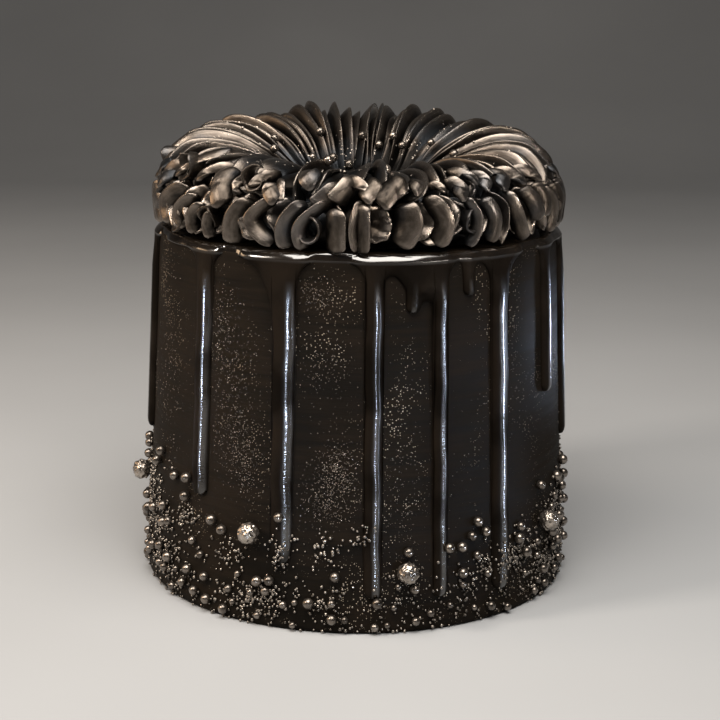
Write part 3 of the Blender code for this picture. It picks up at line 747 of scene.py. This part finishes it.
# (angle, heights of its foot and top in mm, bow and slant in degrees, width in mm, turned inwards by)
SEEN_RIBBONS = [
    (-64, 7, 21.5, -4.5, 7, 6.5, 30),
    (-55, 7, 18, -3, 5, 5.5, 45),
    (-49.5, 5.5, 15.5, -2, 4, 4.5, 35),
    (-43.5, 4.5, 12.5, -1, 1, 4, 40),
    (-35, 3, 19.5, -1.5, 5, 7.3, 35),
    (-26, 2.3, 20, -4.5, 0, 6, 50),
    (-19, 2.3, 20, -2, 5, 6.3, 30),
    (-13.5, 2, 20, -3, 7, 6, 50),
    (-3, 2.2, 16, 0, 0, -6.3, 10),
    (-1.5, 2.5, 19.5, -1, 1, 4, 35),
    (3, 2.5, 17.5, 0, 0, -4.3, 10),
    (10.5, 15, 25.5, 0, 7, -6.5, 15),
    (14.5, 2.3, 20.5, 2, 1, -8.5, 20),
    (22.5, 3.5, 22.7, 2.5, -3, -6, 20),
    (31.5, 3, 20, 2, -1, -4, 45),
    (38, 5, 20, 1.5, -2, -4.2, 10),
    (48.5, 6, 21, -0.5, -7, -5, 50),
    (56, 9, 22.5, 0.5, -6, -5, 15),
    (61.5, 8, 22.5, 1, -1, -4.5, 25),
    (67, 3, 20, 2, -3, -5, 40),
    (74, 6, 20, 2, 0, -4.5, 25),
    (-24.5, 15.5, 26.5, -1.5, -3, 5, 15),
    (-19.5, 18, 27.5, 0, -1, -4, 15),
    (-10, 19, 28.5, 0, 6, 7, 15),
    (-42, 12.5, 30, -1, -3, 6.5, 20),
    (28.5, 17, 30, 2, -1, -4.7, 10),
    (22.5, 21, 28.6, 1, -2, -4, 15),
    (37.5, 20.5, 31, 1.5, 1, -4.5, 45),
    (44.5, 19.3, 31, 1.5, 3, -4.7, 15),
    (-53, 24, 33, -3, 7, -6, 45),
    (-34, 20, 30, -2, 3, 5, 40),
    (-29, 22.5, 32, -1, 4, 5.5, 25),
    (-15, 21.5, 32, -1.5, -4, 6.5, 15),
    (-6, 20.5, 31, 0, 5, 6.5, 10),
    (1, 21.5, 31.5, 1.5, -5, -6.5, 15),
    (5, 17, 27.5, 0.5, 4, -5.5, 20),
    (17, 20, 31, 1, 3, -5, 20),
    (33, 23.5, 33, 1.5, -2, -5, 15),
    (51, 21, 32, 1.5, -4, -5.5, 20),
    (-48, 21.5, 33, -2, 5, 6, 20),
    (-60, 21.5, 31.5, -2, 5, 5.5, 25),
    (60, 21.5, 31.5, 1.5, -5, -5.5, 20),
]
BACK_RIBBONS = 27
BOW, WIDENING = 1.4, 1.35  # times what the table says
TURNED_MORE, TURNED_AT_MOST = 20, 62  # degrees
SKIN_HEIGHTS = (0.0, 5.0, 12.0, 17.0, 21.0, 25.0, 29.0, 31.0, 33.0, 36.0)  # mm
SKIN_DISTANCES = (80.9, 81.5, 82.0, 81.0, 78.8, 77.2, 74.2, 71.5, 67.0, 58.0)  # mm


def make_ribbons(finish):
    """Broad ribbons of cream in front of the blades, each a thin lip that thickens into the wreath.

    A lip rises from its foot to its top on the wreath's skin. Its angle goes evenly by the slant and bows out
    by a sine. From the lip the ribbon reaches across to one side (to the right where the width is above zero)
    and turns inwards, and its outer face is arched by a sine.
    """
    draw = random.Random(17)
    ribbons = list(SEEN_RIBBONS)
    for number in range(BACK_RIBBONS):
        lower = draw.uniform(2, 5), draw.uniform(15, 21)
        upper = draw.uniform(14, 19), draw.uniform(26, 31)
        for foot, top in (lower, upper):
            angle = 81.0 + 209.0 * number / (BACK_RIBBONS - 1) + draw.uniform(-2.5, 2.5)
            side = 1 if angle > 180 else -1
            bow, slant = -side * draw.uniform(1, 4), side * draw.uniform(-1, 6)
            ribbons.append((angle, foot, top, bow, slant, side * draw.uniform(4, 7.5), draw.uniform(12, 50)))
    angle, foot, top, bow, slant, width, turned = (np.array(part, float)[:, None] for part in zip(*ribbons))
    steps, ring = 40, 18
    along = np.linspace(0, 1, steps)[None, :]
    foot = np.where(foot < 8, 0.45 * foot - 0.6, foot)
    height = foot + (top - foot) * along
    skin = smooth_path(list(zip(SKIN_HEIGHTS, SKIN_DISTANCES)), 120)
    distance = np.interp(height, skin[:, 0], skin[:, 1]) / 1000
    lip_angle = angle + slant * (along - 0.5) + BOW * bow * (np.sin(math.pi * along) - 0.35)
    lip_height = np.maximum(wreath_height(angle, height / 1000), on_glaze(distance))
    lip = around(lip_angle, distance, WREATH_FLOOR + lip_height)
    outward = around(lip_angle, np.ones_like(distance), np.zeros_like(distance))
    forward = np.gradient(lip, axis=1)
    forward /= np.linalg.norm(forward, axis=-1, keepdims=True)
    side = np.cross(forward, outward)
    side /= np.linalg.norm(side, axis=-1, keepdims=True)
    turn = np.radians(np.minimum(turned + TURNED_MORE, TURNED_AT_MOST))[..., None]
    sign = np.sign(width)[..., None]
    across = side * sign * np.cos(turn) - outward * np.sin(turn)
    facing = np.cross(across, forward) * sign
    corners = np.arange(ring) * 2 * math.pi / ring
    share = 0.5 - 0.5 * np.cos(corners)
    length = np.linalg.norm(np.diff(lip, axis=1), axis=-1).sum(axis=1, keepdims=True)
    reach = WIDENING * np.abs(width) / 1000
    round_top = np.clip(0.36 * reach / length, 0.08, 0.3)
    taper = np.sqrt(1 - 0.96 * np.clip(1 - (1 - along) / round_top, 0, 1) ** 2)
    taper = taper * np.sqrt(1 - 0.7 * np.clip(1 - along / 0.12, 0, 1) ** 2)
    half = (0.00026 + 0.00034 * share) * np.sign(np.sin(corners)) * np.abs(np.sin(corners)) ** 0.7
    arch = 0.19 * np.sin(math.pi * share)
    reach, taper = reach[..., None], taper[..., None]
    points = lip[:, :, None] + across[:, :, None] * (reach * (0.5 + (share - 0.5) * taper))[..., None]
    points = points + facing[:, :, None] * (reach * arch * taper + half)[..., None]
    low = WREATH_FLOOR + on_glaze(np.hypot(points[..., 0], points[..., 1]))
    points[..., 2] = np.maximum(points[..., 2], low)
    count = len(ribbons)
    faces = tube_faces(count, steps, ring)
    piece = add_piece("wreath_ribbons", points, faces, finish, "piped_cream", "piped_wreath")
    number = (np.arange(count) / count)[:, None, None]
    # This level lightens each ribbon's lip as a painted highlight and darkens its face away from the lip as
    # painted shade.
    store(piece, (count, steps, ring), along=along[:, :, None], level=1 - 0.62 * share**0.6, number=number)
    work = bmesh.new()
    work.from_mesh(piece.data)
    bmesh.ops.recalc_face_normals(work, faces=work.faces)
    work.to_mesh(piece.data)
    work.free()


make_ribbons(blade_finish)


# SUGAR PEARLS
# Pressed sugar balls of 4 mm with a polished metal coating, larger crinkled ones of 8 mm, and dark silver
# beads of about 1 mm. They are pressed by hand into the soft coat round the foot, where most of them gather.

PEARL_RADIUS = 0.0020
PEARL_SUNK = 0.0005
BALL_RADIUS = 0.0041
BALLS = [(-84.0, 0.0385), (-26.6, 0.0360), (12.8, 0.0240), (58.5, 0.0310)]
BALLS += [(118.0, 0.0240), (176.0, 0.0360), (219.0, 0.0270)]
BALL_SUNK = 0.0002
CRINKLES = 9
BEAD_SIDES, BEAD_BANDS = 6, 4
SEEN_CLUSTERS = [  # (angle, height, how far it spreads in degrees, and up, pearls)
    (-84.0, 0.0340, 5.0, 0.0180, 7),
    (-72.0, 0.0180, 6.0, 0.0120, 6),
    (-66.0, 0.0520, 2.0, 0.0030, 2),
    (-55.4, 0.0484, 0.3, 0.0003, 1),
    (-49.5, 0.0465, 1.5, 0.0050, 2),
    (-60.0, 0.0290, 4.0, 0.0060, 3),
    (-38.0, 0.0350, 3.0, 0.0020, 2),
    (-56.0, 0.0120, 8.0, 0.0080, 5),
    (-44.0, 0.0120, 3.0, 0.0060, 2),
    (-38.0, 0.0045, 4.0, 0.0010, 2),
    (-22.0, 0.0168, 3.0, 0.0030, 3),
    (-11.0, 0.0120, 1.0, 0.0030, 2),
    (-4.8, 0.0212, 2.5, 0.0015, 3),
    (-5.5, 0.0059, 0.5, 0.0005, 1),
    (13.3, 0.0309, 0.2, 0.0002, 1),
    (15.5, 0.0165, 1.0, 0.0010, 1),
    (27.2, 0.0310, 0.5, 0.0010, 1),
    (28.0, 0.0208, 1.4, 0.0008, 2),
    (30.4, 0.0339, 0.3, 0.0003, 1),
    (33.8, 0.0375, 1.8, 0.0030, 2),
    (36.4, 0.0049, 0.5, 0.0005, 1),
    (48.5, 0.0260, 2.0, 0.0070, 3),
    (57.9, 0.0458, 0.5, 0.0010, 1),
    (68.5, 0.0448, 1.0, 0.0010, 1),
    (75.0, 0.0340, 4.0, 0.0080, 4),
    (64.0, 0.0180, 6.0, 0.0100, 5),
    (84.0, 0.0300, 5.0, 0.0180, 6),
    (58.7, 0.0049, 3.0, 0.0010, 1),
]
BACK_CLUSTERS = 10
SMALLER_PEARLS = 100
PEARLS_ON_DRIPS = [(-18.9, 0.0433), (5.4, 0.0128), (23.6, 0.0315)]
WREATH_PEARLS = [  # (angle, distance from the axis)
    (-154.0, 0.037),
    (178.0, 0.036),
    (166.0, 0.034),
    (157.0, 0.036),
    (-156.0, 0.026),
    (-171.0, 0.026),
    (125.0, 0.036),
    (-120.0, 0.040),
    (-95.0, 0.034),
    (80.0, 0.038),
    (147.0, 0.033),
    (-142.0, 0.031),
    (12.0, 0.048),
    (-14.0, 0.047),
]
BEAD_CLUSTERS = [  # (angle, height, how far it spreads in degrees, and up, beads)
    (-26.0, 0.0100, 9.0, 0.0060, 190),
    (-18.9, 0.0290, 3.0, 0.0060, 50),
    (-34.0, 0.0260, 5.0, 0.0050, 50),
    (-8.0, 0.0300, 5.0, 0.0070, 45),
    (0.0, 0.0370, 5.0, 0.0040, 30),
    (-50.0, 0.0340, 4.0, 0.0060, 60),
    (-68.0, 0.0300, 9.0, 0.0140, 190),
    (-60.0, 0.0120, 10.0, 0.0080, 170),
    (-84.0, 0.0300, 7.0, 0.0180, 170),
    (-8.0, 0.0120, 6.0, 0.0070, 50),
    (12.0, 0.0140, 8.0, 0.0080, 35),
    (28.0, 0.0120, 6.0, 0.0080, 45),
    (36.0, 0.0200, 4.0, 0.0050, 60),
    (47.0, 0.0220, 6.0, 0.0060, 90),
    (60.0, 0.0120, 10.0, 0.0080, 170),
    (72.0, 0.0300, 9.0, 0.0120, 170),
    (86.0, 0.0300, 7.0, 0.0160, 150),
]
BACK_BEAD_CLUSTERS = 16
LOOSE_BEADS = 900
WREATH_BEADS = 560
DUST_PATCHES = [  # (angle, height, how far it spreads in degrees, and up, grains)
    (-62.0, 0.085, 7.0, 0.035, 260),
    (-38.0, 0.112, 4.0, 0.012, 130),
    (-34.0, 0.098, 6.0, 0.018, 200),
    (-33.0, 0.070, 6.0, 0.014, 320),
    (-29.0, 0.060, 4.0, 0.012, 260),
    (-10.0, 0.125, 6.0, 0.006, 170),
    (-7.0, 0.098, 6.0, 0.014, 160),
    (-5.0, 0.060, 5.0, 0.010, 420),
    (-8.0, 0.050, 6.0, 0.010, 300),
    (10.0, 0.060, 4.0, 0.018, 90),
    (12.0, 0.040, 5.0, 0.012, 60),
    (30.0, 0.050, 8.0, 0.030, 50),
]
BACK_DUST_PATCHES = 22


def distance_apart(first, second):
    """Metres between two places at the coat's foot radius, each given as (angle, height)."""
    between = around(first[0], FOOT_RADIUS, first[1]) - around(second[0], FOOT_RADIUS, second[1])
    return float(np.linalg.norm(between))


def is_clear(place, places, drips):
    """Whether a pearl here would keep clear of the drips, the balls and the pearls before it."""
    angle, height = place
    for drip_angle, end, half_width in drips:
        beside = abs(math.radians(apart(angle, drip_angle))) * RIM_RADIUS < half_width + PEARL_RADIUS + 0.0008
        if beside and height > end - PEARL_RADIUS - 0.001:
            return False
    if any(distance_apart(place, ball) < 0.0066 for ball in BALLS):
        return False
    return all(distance_apart(place, other) >= 0.0043 for other in places)


def pearl_places(drips):
    """The seen clusters, then more round the back by a rule, each pearl drawn about its cluster's middle."""
    draw = random.Random(23)
    clusters = list(SEEN_CLUSTERS)
    for number in range(BACK_CLUSTERS):
        angle = 98.0 + 164.0 * number / (BACK_CLUSTERS - 1)
        height, up, count = draw.uniform(0.008, 0.034), draw.uniform(0.005, 0.014), draw.randint(1, 3)
        clusters.append((angle, height, 6.0, up, count))
    places = []
    for angle, height, spread, up, count in clusters:
        wanted = len(places) + count
        tries = 0
        while len(places) < wanted and tries < 300:
            tries += 1
            beside = angle + draw.uniform(-spread, spread)
            place = (beside, max(height + draw.uniform(-up, up), PEARL_RADIUS + 0.0004))
            if is_clear(place, places, drips):
                places.append(place)
    return places


def smaller_pearl_places(places, drips):
    """Pearls between the others, low down: an even angle and a height that favours the foot."""
    draw = random.Random(41)
    found = list(places)
    tries = 0
    while len(found) < len(places) + SMALLER_PEARLS and tries < 6000:
        tries += 1
        angle = draw.uniform(-180, 180)
        turn = math.radians(angle)
        line = 0.036 - 0.012 * math.cos(turn) - 0.008 * math.cos(2 * turn) + 0.004 * math.sin(3 * turn)
        place = (angle, 0.0022 + line * draw.random() ** 1.6)
        if is_clear(place, found, drips):
            found.append(place)
    return found[len(places) :]


def unit_ball(segments, bands):
    """A ball of radius 1: rings of latitude between two poles, with its faces pointing out."""
    polar = np.linspace(0, math.pi, bands + 1)[1:-1, None]
    turn = (np.arange(segments) * 2 * math.pi / segments)[None, :]
    x, y = np.sin(polar) * np.cos(turn), np.sin(polar) * np.sin(turn)
    rings = np.stack(np.broadcast_arrays(x, y, np.cos(polar)), axis=-1).reshape(-1, 3)
    points = np.concatenate([rings, [[0, 0, 1], [0, 0, -1]]])
    last = (bands - 2) * segments
    total = last + segments
    groups = [ring_faces(bands - 1, segments)]
    groups.append(pole_faces(segments, 0, total, False))
    groups.append(pole_faces(segments, last, total + 1, True))
    return points, groups


def make_balls(name, centres, radii, segments, bands, finish, slot, *nodes):
    """One mesh of many balls: the unit ball scaled by each radius and moved to each centre."""
    points, groups = unit_ball(segments, bands)
    centres, radii = np.asarray(centres), np.asarray(radii)
    placed = points[None] * radii[:, None, None] + centres[:, None, :]
    add_piece(name, placed, repeated(groups, len(centres), len(points)), finish, slot, *nodes)


def sugar_metal(name, light, dark, roughness, grain_scale, bump_height):
    """A sugar ball tumbled with metal dust: a soft metallic face with a fine pitted grain."""
    made, tree, shader, place = new_finish(name)
    grain = add(tree, "ShaderNodeTexNoise", {"Vector": place, "Scale": grain_scale, "Detail": 3.0}).outputs[0]
    cloud = add(tree, "ShaderNodeTexNoise", {"Vector": place, "Scale": 260.0, "Detail": 2.0}).outputs[0]
    colour = add(tree, "ShaderNodeValToRGB", {0: cloud}, stops=[(0.3, dark), (0.7, light)]).outputs[0]
    smoothest, roughest = roughness - 0.06, roughness + 0.1
    rough = add(tree, "ShaderNodeMapRange", {0: grain, 1: 0.3, 2: 0.7, 3: smoothest, 4: roughest}).outputs[0]
    bump = add(tree, "ShaderNodeBump", {"Height": grain, "Strength": 0.5, "Distance": bump_height}).outputs[0]
    set_sockets(tree, shader, {"Base Color": colour, "Roughness": rough, "Metallic": 0.9, "Normal": bump})
    return made


def make_pearls():
    """Pearls on the coat, the smaller ones between them, and three that stick to drips."""
    drips = all_drips()
    places = pearl_places(drips)
    smaller = smaller_pearl_places(places, drips)
    draw = np.random.default_rng(4)
    radii = PEARL_RADIUS * draw.uniform(0.84, 1.04, len(places))
    radii = np.concatenate([radii, PEARL_RADIUS * draw.uniform(0.55, 0.80, len(smaller)), np.full(3, 0.0019)])
    angles, heights = np.array([*places, *smaller, *PEARLS_ON_DRIPS]).T
    on_drip = np.concatenate([np.zeros(len(places) + len(smaller)), np.full(3, 0.0016)])
    centres = around(angles, coat_radius(heights) + radii - PEARL_SUNK + on_drip, heights)
    finish = sugar_metal("silvered_sugar_pearl", "#948B82", "#4E4842", 0.26, 900.0, 0.0001)
    make_balls("sugar_pearls", centres, radii, 14, 9, finish, "sugar_pearl", "cake")


make_pearls()


def make_crinkled_balls():
    """Larger balls with a crinkled skin: each point moves in or out by the mean of nine folded waves."""
    finish = sugar_metal("crinkled_silvered_sugar", "#B9AFA4", "#5F5953", 0.24, 700.0, 0.0002)
    points, groups = unit_ball(56, 36)
    draw = np.random.default_rng(31)
    balls = []
    for angle, height in BALLS:
        fold = np.zeros(len(points))
        for _ in range(CRINKLES):
            direction = draw.normal(size=3)
            direction *= draw.uniform(5, 11) / np.linalg.norm(direction)
            fold += np.abs(np.sin(points @ direction + draw.uniform(0, 6)))
        swell = 0.88 + 0.42 * (fold / CRINKLES - 0.5)
        centre = around(angle, coat_radius(height) + BALL_RADIUS - BALL_SUNK, height)
        balls.append(points * (BALL_RADIUS * np.minimum(swell, 1.02))[:, None] + centre)
    faces = repeated(groups, len(BALLS), len(points))
    names = [f"crunch_ball_{number:02d}" for number in range(1, len(BALLS) + 1)]
    add_piece("crinkled_balls", np.array(balls), faces, finish, "sugar_pearl", *names)


make_crinkled_balls()


def make_beads():
    """Small beads in clusters at the foot, with loose ones between. A cluster spreads by a normal law."""
    draw = np.random.default_rng(12)
    clusters = list(BEAD_CLUSTERS)
    for number in range(BACK_BEAD_CLUSTERS):
        angle = 96.0 + 168.0 * number / (BACK_BEAD_CLUSTERS - 1)
        low = number % 2 == 0
        height = 0.010 if low else draw.uniform(0.02, 0.036)
        clusters.append((angle, height, 8.0, 0.006, int(draw.integers(60, 150))))
    angles = [draw.normal(angle, 0.6 * spread, count) for angle, _, spread, _, count in clusters]
    heights = [draw.normal(height, 0.6 * up, count) for _, height, _, up, count in clusters]
    loose = draw.uniform(-180, 180, LOOSE_BEADS)
    turn = np.radians(loose)
    line = 0.040 - 0.012 * np.cos(turn) - 0.008 * np.cos(2 * turn) + 0.005 * np.sin(3 * turn)
    angles = np.concatenate([*angles, loose])
    heights = np.concatenate([*heights, 0.0006 + line * draw.random(LOOSE_BEADS) ** 1.3])
    heights = np.where(heights < 0.0005, 0.0008 - heights, heights)
    radii = 0.00036 + 0.00036 * draw.random(len(angles)) ** 1.6
    drips = all_drips()
    rise = np.where(glaze_distance(angles, heights, drips) < 0, glaze_rise(angles, heights, drips), 0)
    centres = around(angles, coat_radius(heights) + rise + radii * 0.7, np.maximum(heights, radii + 0.0001))
    finish = sugar_metal("black_sugar_bead", "#A69D93", "#4A4540", 0.26, 500.0, 0.00004)
    make_balls("black_sugar_beads", centres, radii, BEAD_SIDES, BEAD_BANDS, finish, "sugar_pearl", "cake")
    return finish


bead_finish = make_beads()


def top_of_wreath(angles, radii):
    """Where a ball dropped on the blades comes to rest: the highest of their faces below each place."""
    points, faces, offset = [], [], 0
    for name in ("wreath_lower_blades", "wreath_upper_blades", "wreath_ribbons", "wreath_core"):
        mesh = bpy.data.objects[name].data
        points += [vertex.co[:] for vertex in mesh.vertices]
        faces += [[corner + offset for corner in face.vertices] for face in mesh.polygons]
        offset = len(points)
    tree = BVHTree.FromPolygons(points, faces)
    above = around(angles, radii, 0.25)
    hits = [tree.ray_cast(Vector(place), Vector((0, 0, -1))) for place in above.tolist()]
    return np.array([(*hit[0], *hit[1]) for hit in hits])


def make_wreath_pearls():
    """Pearls and beads dropped on the wreath's inner slope, each lifted off the face that it meets."""
    draw = np.random.default_rng(27)
    angles, distances = np.array(WREATH_PEARLS).T
    radii = PEARL_RADIUS * draw.uniform(0.80, 1.0, len(angles))
    steps = ((0, 0), (2, 0), (-2, 0), (0, 0.0012), (0, -0.0012))
    rest = [top_of_wreath(angles + step_angle, distances + step_out)[:, 2] for step_angle, step_out in steps]
    centres = around(angles, distances, np.max(rest, axis=0) + 0.5 * radii)
    finish = sugar_metal("silvered_pearl_on_the_wreath", "#948B82", "#4E4842", 0.26, 900.0, 0.0001)
    make_balls("wreath_pearls", centres, radii, 14, 9, finish, "sugar_pearl", "piped_wreath")
    groups = draw.uniform(-180, 180, 14), draw.uniform(0.030, 0.062, 14)
    groups[0][:3], groups[1][:3] = (-118.0, -95.0, -40.0), (0.050, 0.056, 0.058)
    which = draw.integers(0, 14, WREATH_BEADS)
    close = draw.random(WREATH_BEADS) < 0.62
    in_group = groups[0][which] + draw.normal(0, 5, WREATH_BEADS)
    angles = np.where(close, in_group, draw.uniform(-180, 180, WREATH_BEADS))
    in_group = groups[1][which] + draw.normal(0, 0.003, WREATH_BEADS)
    distances = np.where(close, in_group, draw.uniform(0.024, 0.066, WREATH_BEADS))
    rest = top_of_wreath(angles, distances)
    radii = 0.00040 + 0.00035 * draw.random(WREATH_BEADS)
    centres = rest[:, :3] + rest[:, 3:] * (radii * 0.7)[:, None]
    sides, bands = BEAD_SIDES, BEAD_BANDS
    make_balls("wreath_beads", centres, radii, sides, bands, bead_finish, "sugar_pearl", "piped_wreath")


make_wreath_pearls()


def make_dust():
    """Grains of 0.2 to 0.5 mm in loose patches, each patch spread about its middle by a normal law."""
    draw = np.random.default_rng(19)
    patches = list(DUST_PATCHES)
    for number in range(BACK_DUST_PATCHES):
        angle = 80.0 + 200.0 * number / (BACK_DUST_PATCHES - 1)
        height, up = draw.uniform(0.040, 0.120), draw.uniform(0.008, 0.016)
        patches.append((angle, height, 6.0, up, int(draw.integers(40, 240))))
    angles = [draw.normal(angle, 0.62 * spread, count) for angle, _, spread, _, count in patches]
    heights = [draw.normal(height, 0.62 * up, count) for _, height, _, up, count in patches]
    angles, heights = np.concatenate(angles), np.concatenate(heights)
    radii = 0.00012 + 0.00013 * draw.random(len(angles)) ** 2
    drips = all_drips()
    kept = (glaze_distance(angles, heights, drips) > 0.0004) & (heights > 0.004) & (heights < 0.135)
    angles, heights, radii = angles[kept], heights[kept], radii[kept]
    centres = around(angles, coat_radius(heights) + coat_relief(angles, heights) + radii * 0.6, heights)
    finish = sugar_metal("fine_silvered_sugar", "#9A9086", "#4A4540", 0.25, 900.0, 0.00002)
    make_balls("sugar_dust", centres, radii, 5, 4, finish, "sugar_pearl", "cake")


make_dust()


# THE PLACE IT IS SEEN IN
# A pale sweep of paper under soft studio light, seen from a little above the rim.

CAMERA_DISTANCE = 0.642
CAMERA_HEIGHT = 0.237
CAMERA_PITCH = 10.97
CAMERA_ROLL = -0.59
FOCAL_PIXELS = 1620.0
MIDDLE_X, MIDDLE_Y = 360.8, 288.0
PHOTO_SIZE = 720


def make_sweep():
    """A floor that curves up into a wall, and meets the cake's foot at z = 0."""
    bend = np.radians(np.linspace(6, 90, 15))
    along = np.concatenate([np.linspace(-3.0, 1.2, 12), 1.2 + 0.9 * np.sin(bend), [2.1, 2.1]])
    up = np.concatenate([np.zeros(12), 0.9 * (1 - np.cos(bend)), [2.2, 3.6]])
    across = np.linspace(-3.2, 3.2, 9)
    points = np.stack(np.broadcast_arrays(across[None, :], along[:, None], up[:, None]), axis=-1)
    rows, columns = points.shape[:2]
    row, column = np.arange(rows - 1)[:, None], np.arange(columns - 1)[None, :]
    first = row * columns + column
    faces = np.stack([first, first + 1, first + columns + 1, first + columns], axis=-1).reshape(-1, 4)
    mesh = bpy.data.meshes.new("paper_sweep")
    mesh.from_pydata(points.reshape(-1, 3).tolist(), [], faces.tolist())
    mesh.shade_smooth()
    made, tree, shader, place = new_finish("pale_paper")
    cloud = add(tree, "ShaderNodeTexNoise", {"Vector": place, "Scale": 3.0, "Detail": 3.0}).outputs[0]
    colour = add(tree, "ShaderNodeValToRGB", {0: cloud}, stops=[(0.3, "#949698"), (0.7, "#9C9EA0")])
    set_sockets(tree, shader, {"Base Color": colour.outputs[0], "Roughness": 0.9})
    mesh.materials.append(made)
    sweep = bpy.data.objects.new("paper_sweep", mesh)
    bpy.context.scene.collection.objects.link(sweep)


STRIP_WIDTH = 0.018
STRIP_AWAY = 0.3
STRIP_WATTS = 0.0044  # for a strip of STRIP_LENGTH
STRIP_LENGTH = 0.08
STRIP_FAN = 10.0
STRIP_TOP = 0.125
STRIP_LOWERED, STRIP_SHORTENED = 0.004, 0.012


def add_light(name, place, target, width, height, watts, colour, fan=180.0):
    """A rectangular soft light at place, facing target, with its rays fanned out by so many degrees.

    A light fanned as narrowly as a drip's strip shows in glossy surfaces only.
    """
    data = bpy.data.lights.new(name, "AREA")
    data.shape = "RECTANGLE"
    data.size = width
    data.size_y = height
    data.energy = watts
    data.color = linear(colour)[:3]
    data.spread = math.radians(fan)
    light = bpy.data.objects.new(name, data)
    light.location = place
    direction = np.array(target) - np.array(place)
    yaw = math.atan2(direction[0], direction[1])
    pitch = math.atan2(direction[2], math.hypot(direction[0], direction[1]))
    light.rotation_euler = (math.pi / 2 + pitch, 0, -yaw)
    light.visible_camera = False
    light.visible_diffuse = fan > STRIP_FAN
    bpy.context.scene.collection.objects.link(light)


make_sweep()
add_light("soft_above", (0.0, -0.33, 0.83), (0, -0.02, 0.14), 0.75, 0.62, 15.0, "#FFF8F0")
add_light("key_left", (-0.75, -0.35, 0.70), (0, 0, 0.16), 0.16, 0.16, 6.0, "#FFF2E4")
add_light("key_right", (0.72, -0.80, 0.30), (0, 0, 0.20), 0.12, 0.12, 0.052, "#FFF4EA", 12.0)
add_light("warm_left", (-1.10, 0.05, 0.35), (0, 0, 0.10), 0.40, 0.40, 3.0, "#FFD9B0")


def add_drip_strips():
    """One narrow upright light for each drip in front, where ripples on its crest mirror it into the lens.

    Seen from above, the mirrored direction is twice the part of the line of sight along the crest's normal,
    less that line. The light hangs lower for a drip at the side, so all ripples that show it slope alike.
    """
    for number in range(1, 7):
        angle, end = SEEN_DRIPS[number]
        middle = (end + STRIP_TOP) / 2 - STRIP_LOWERED
        crest = around(angle, coat_radius(middle), middle)
        sight = np.array([0.0, -CAMERA_DISTANCE, CAMERA_HEIGHT]) - crest
        sight /= np.linalg.norm(sight)
        normal = around(angle + GLOSSY_LINES.get(number, (0.0, 0.0))[1], 1.0, 0.0)
        facing = normal @ sight
        mirrored = 2 * facing * normal - sight
        mirrored[2] = -sight[2] * (1 - facing)
        place = crest + mirrored * STRIP_AWAY
        length = STRIP_TOP - end - STRIP_SHORTENED
        watts = STRIP_WATTS * length / STRIP_LENGTH
        add_light(f"drip_strip_{number}", place, crest, STRIP_WIDTH, length, watts, "#D6E6FF", STRIP_FAN)


add_drip_strips()

world = bpy.data.worlds.new("dim_room")
world.use_nodes = True
room = world.node_tree
set_sockets(room, room.nodes["Background"], {"Color": linear("#C8CDD4"), "Strength": 0.05})
bpy.context.scene.world = world
bpy.context.scene.view_settings.view_transform = "Standard"

camera_data = bpy.data.cameras.new("camera")
camera_data.sensor_width = 36.0
camera_data.lens = FOCAL_PIXELS / PHOTO_SIZE * 36.0
camera_data.shift_x = (PHOTO_SIZE / 2 - MIDDLE_X) / PHOTO_SIZE
camera_data.shift_y = (MIDDLE_Y - PHOTO_SIZE / 2) / PHOTO_SIZE
camera_data.clip_start = 0.05
camera = bpy.data.objects.new("camera", camera_data)
camera.location = (0.0, -CAMERA_DISTANCE, CAMERA_HEIGHT)
camera.rotation_euler = (math.radians(90 - CAMERA_PITCH), math.radians(CAMERA_ROLL), 0.0)
camera.rotation_mode = "XYZ"
bpy.context.scene.collection.objects.link(camera)
bpy.context.scene.camera = camera
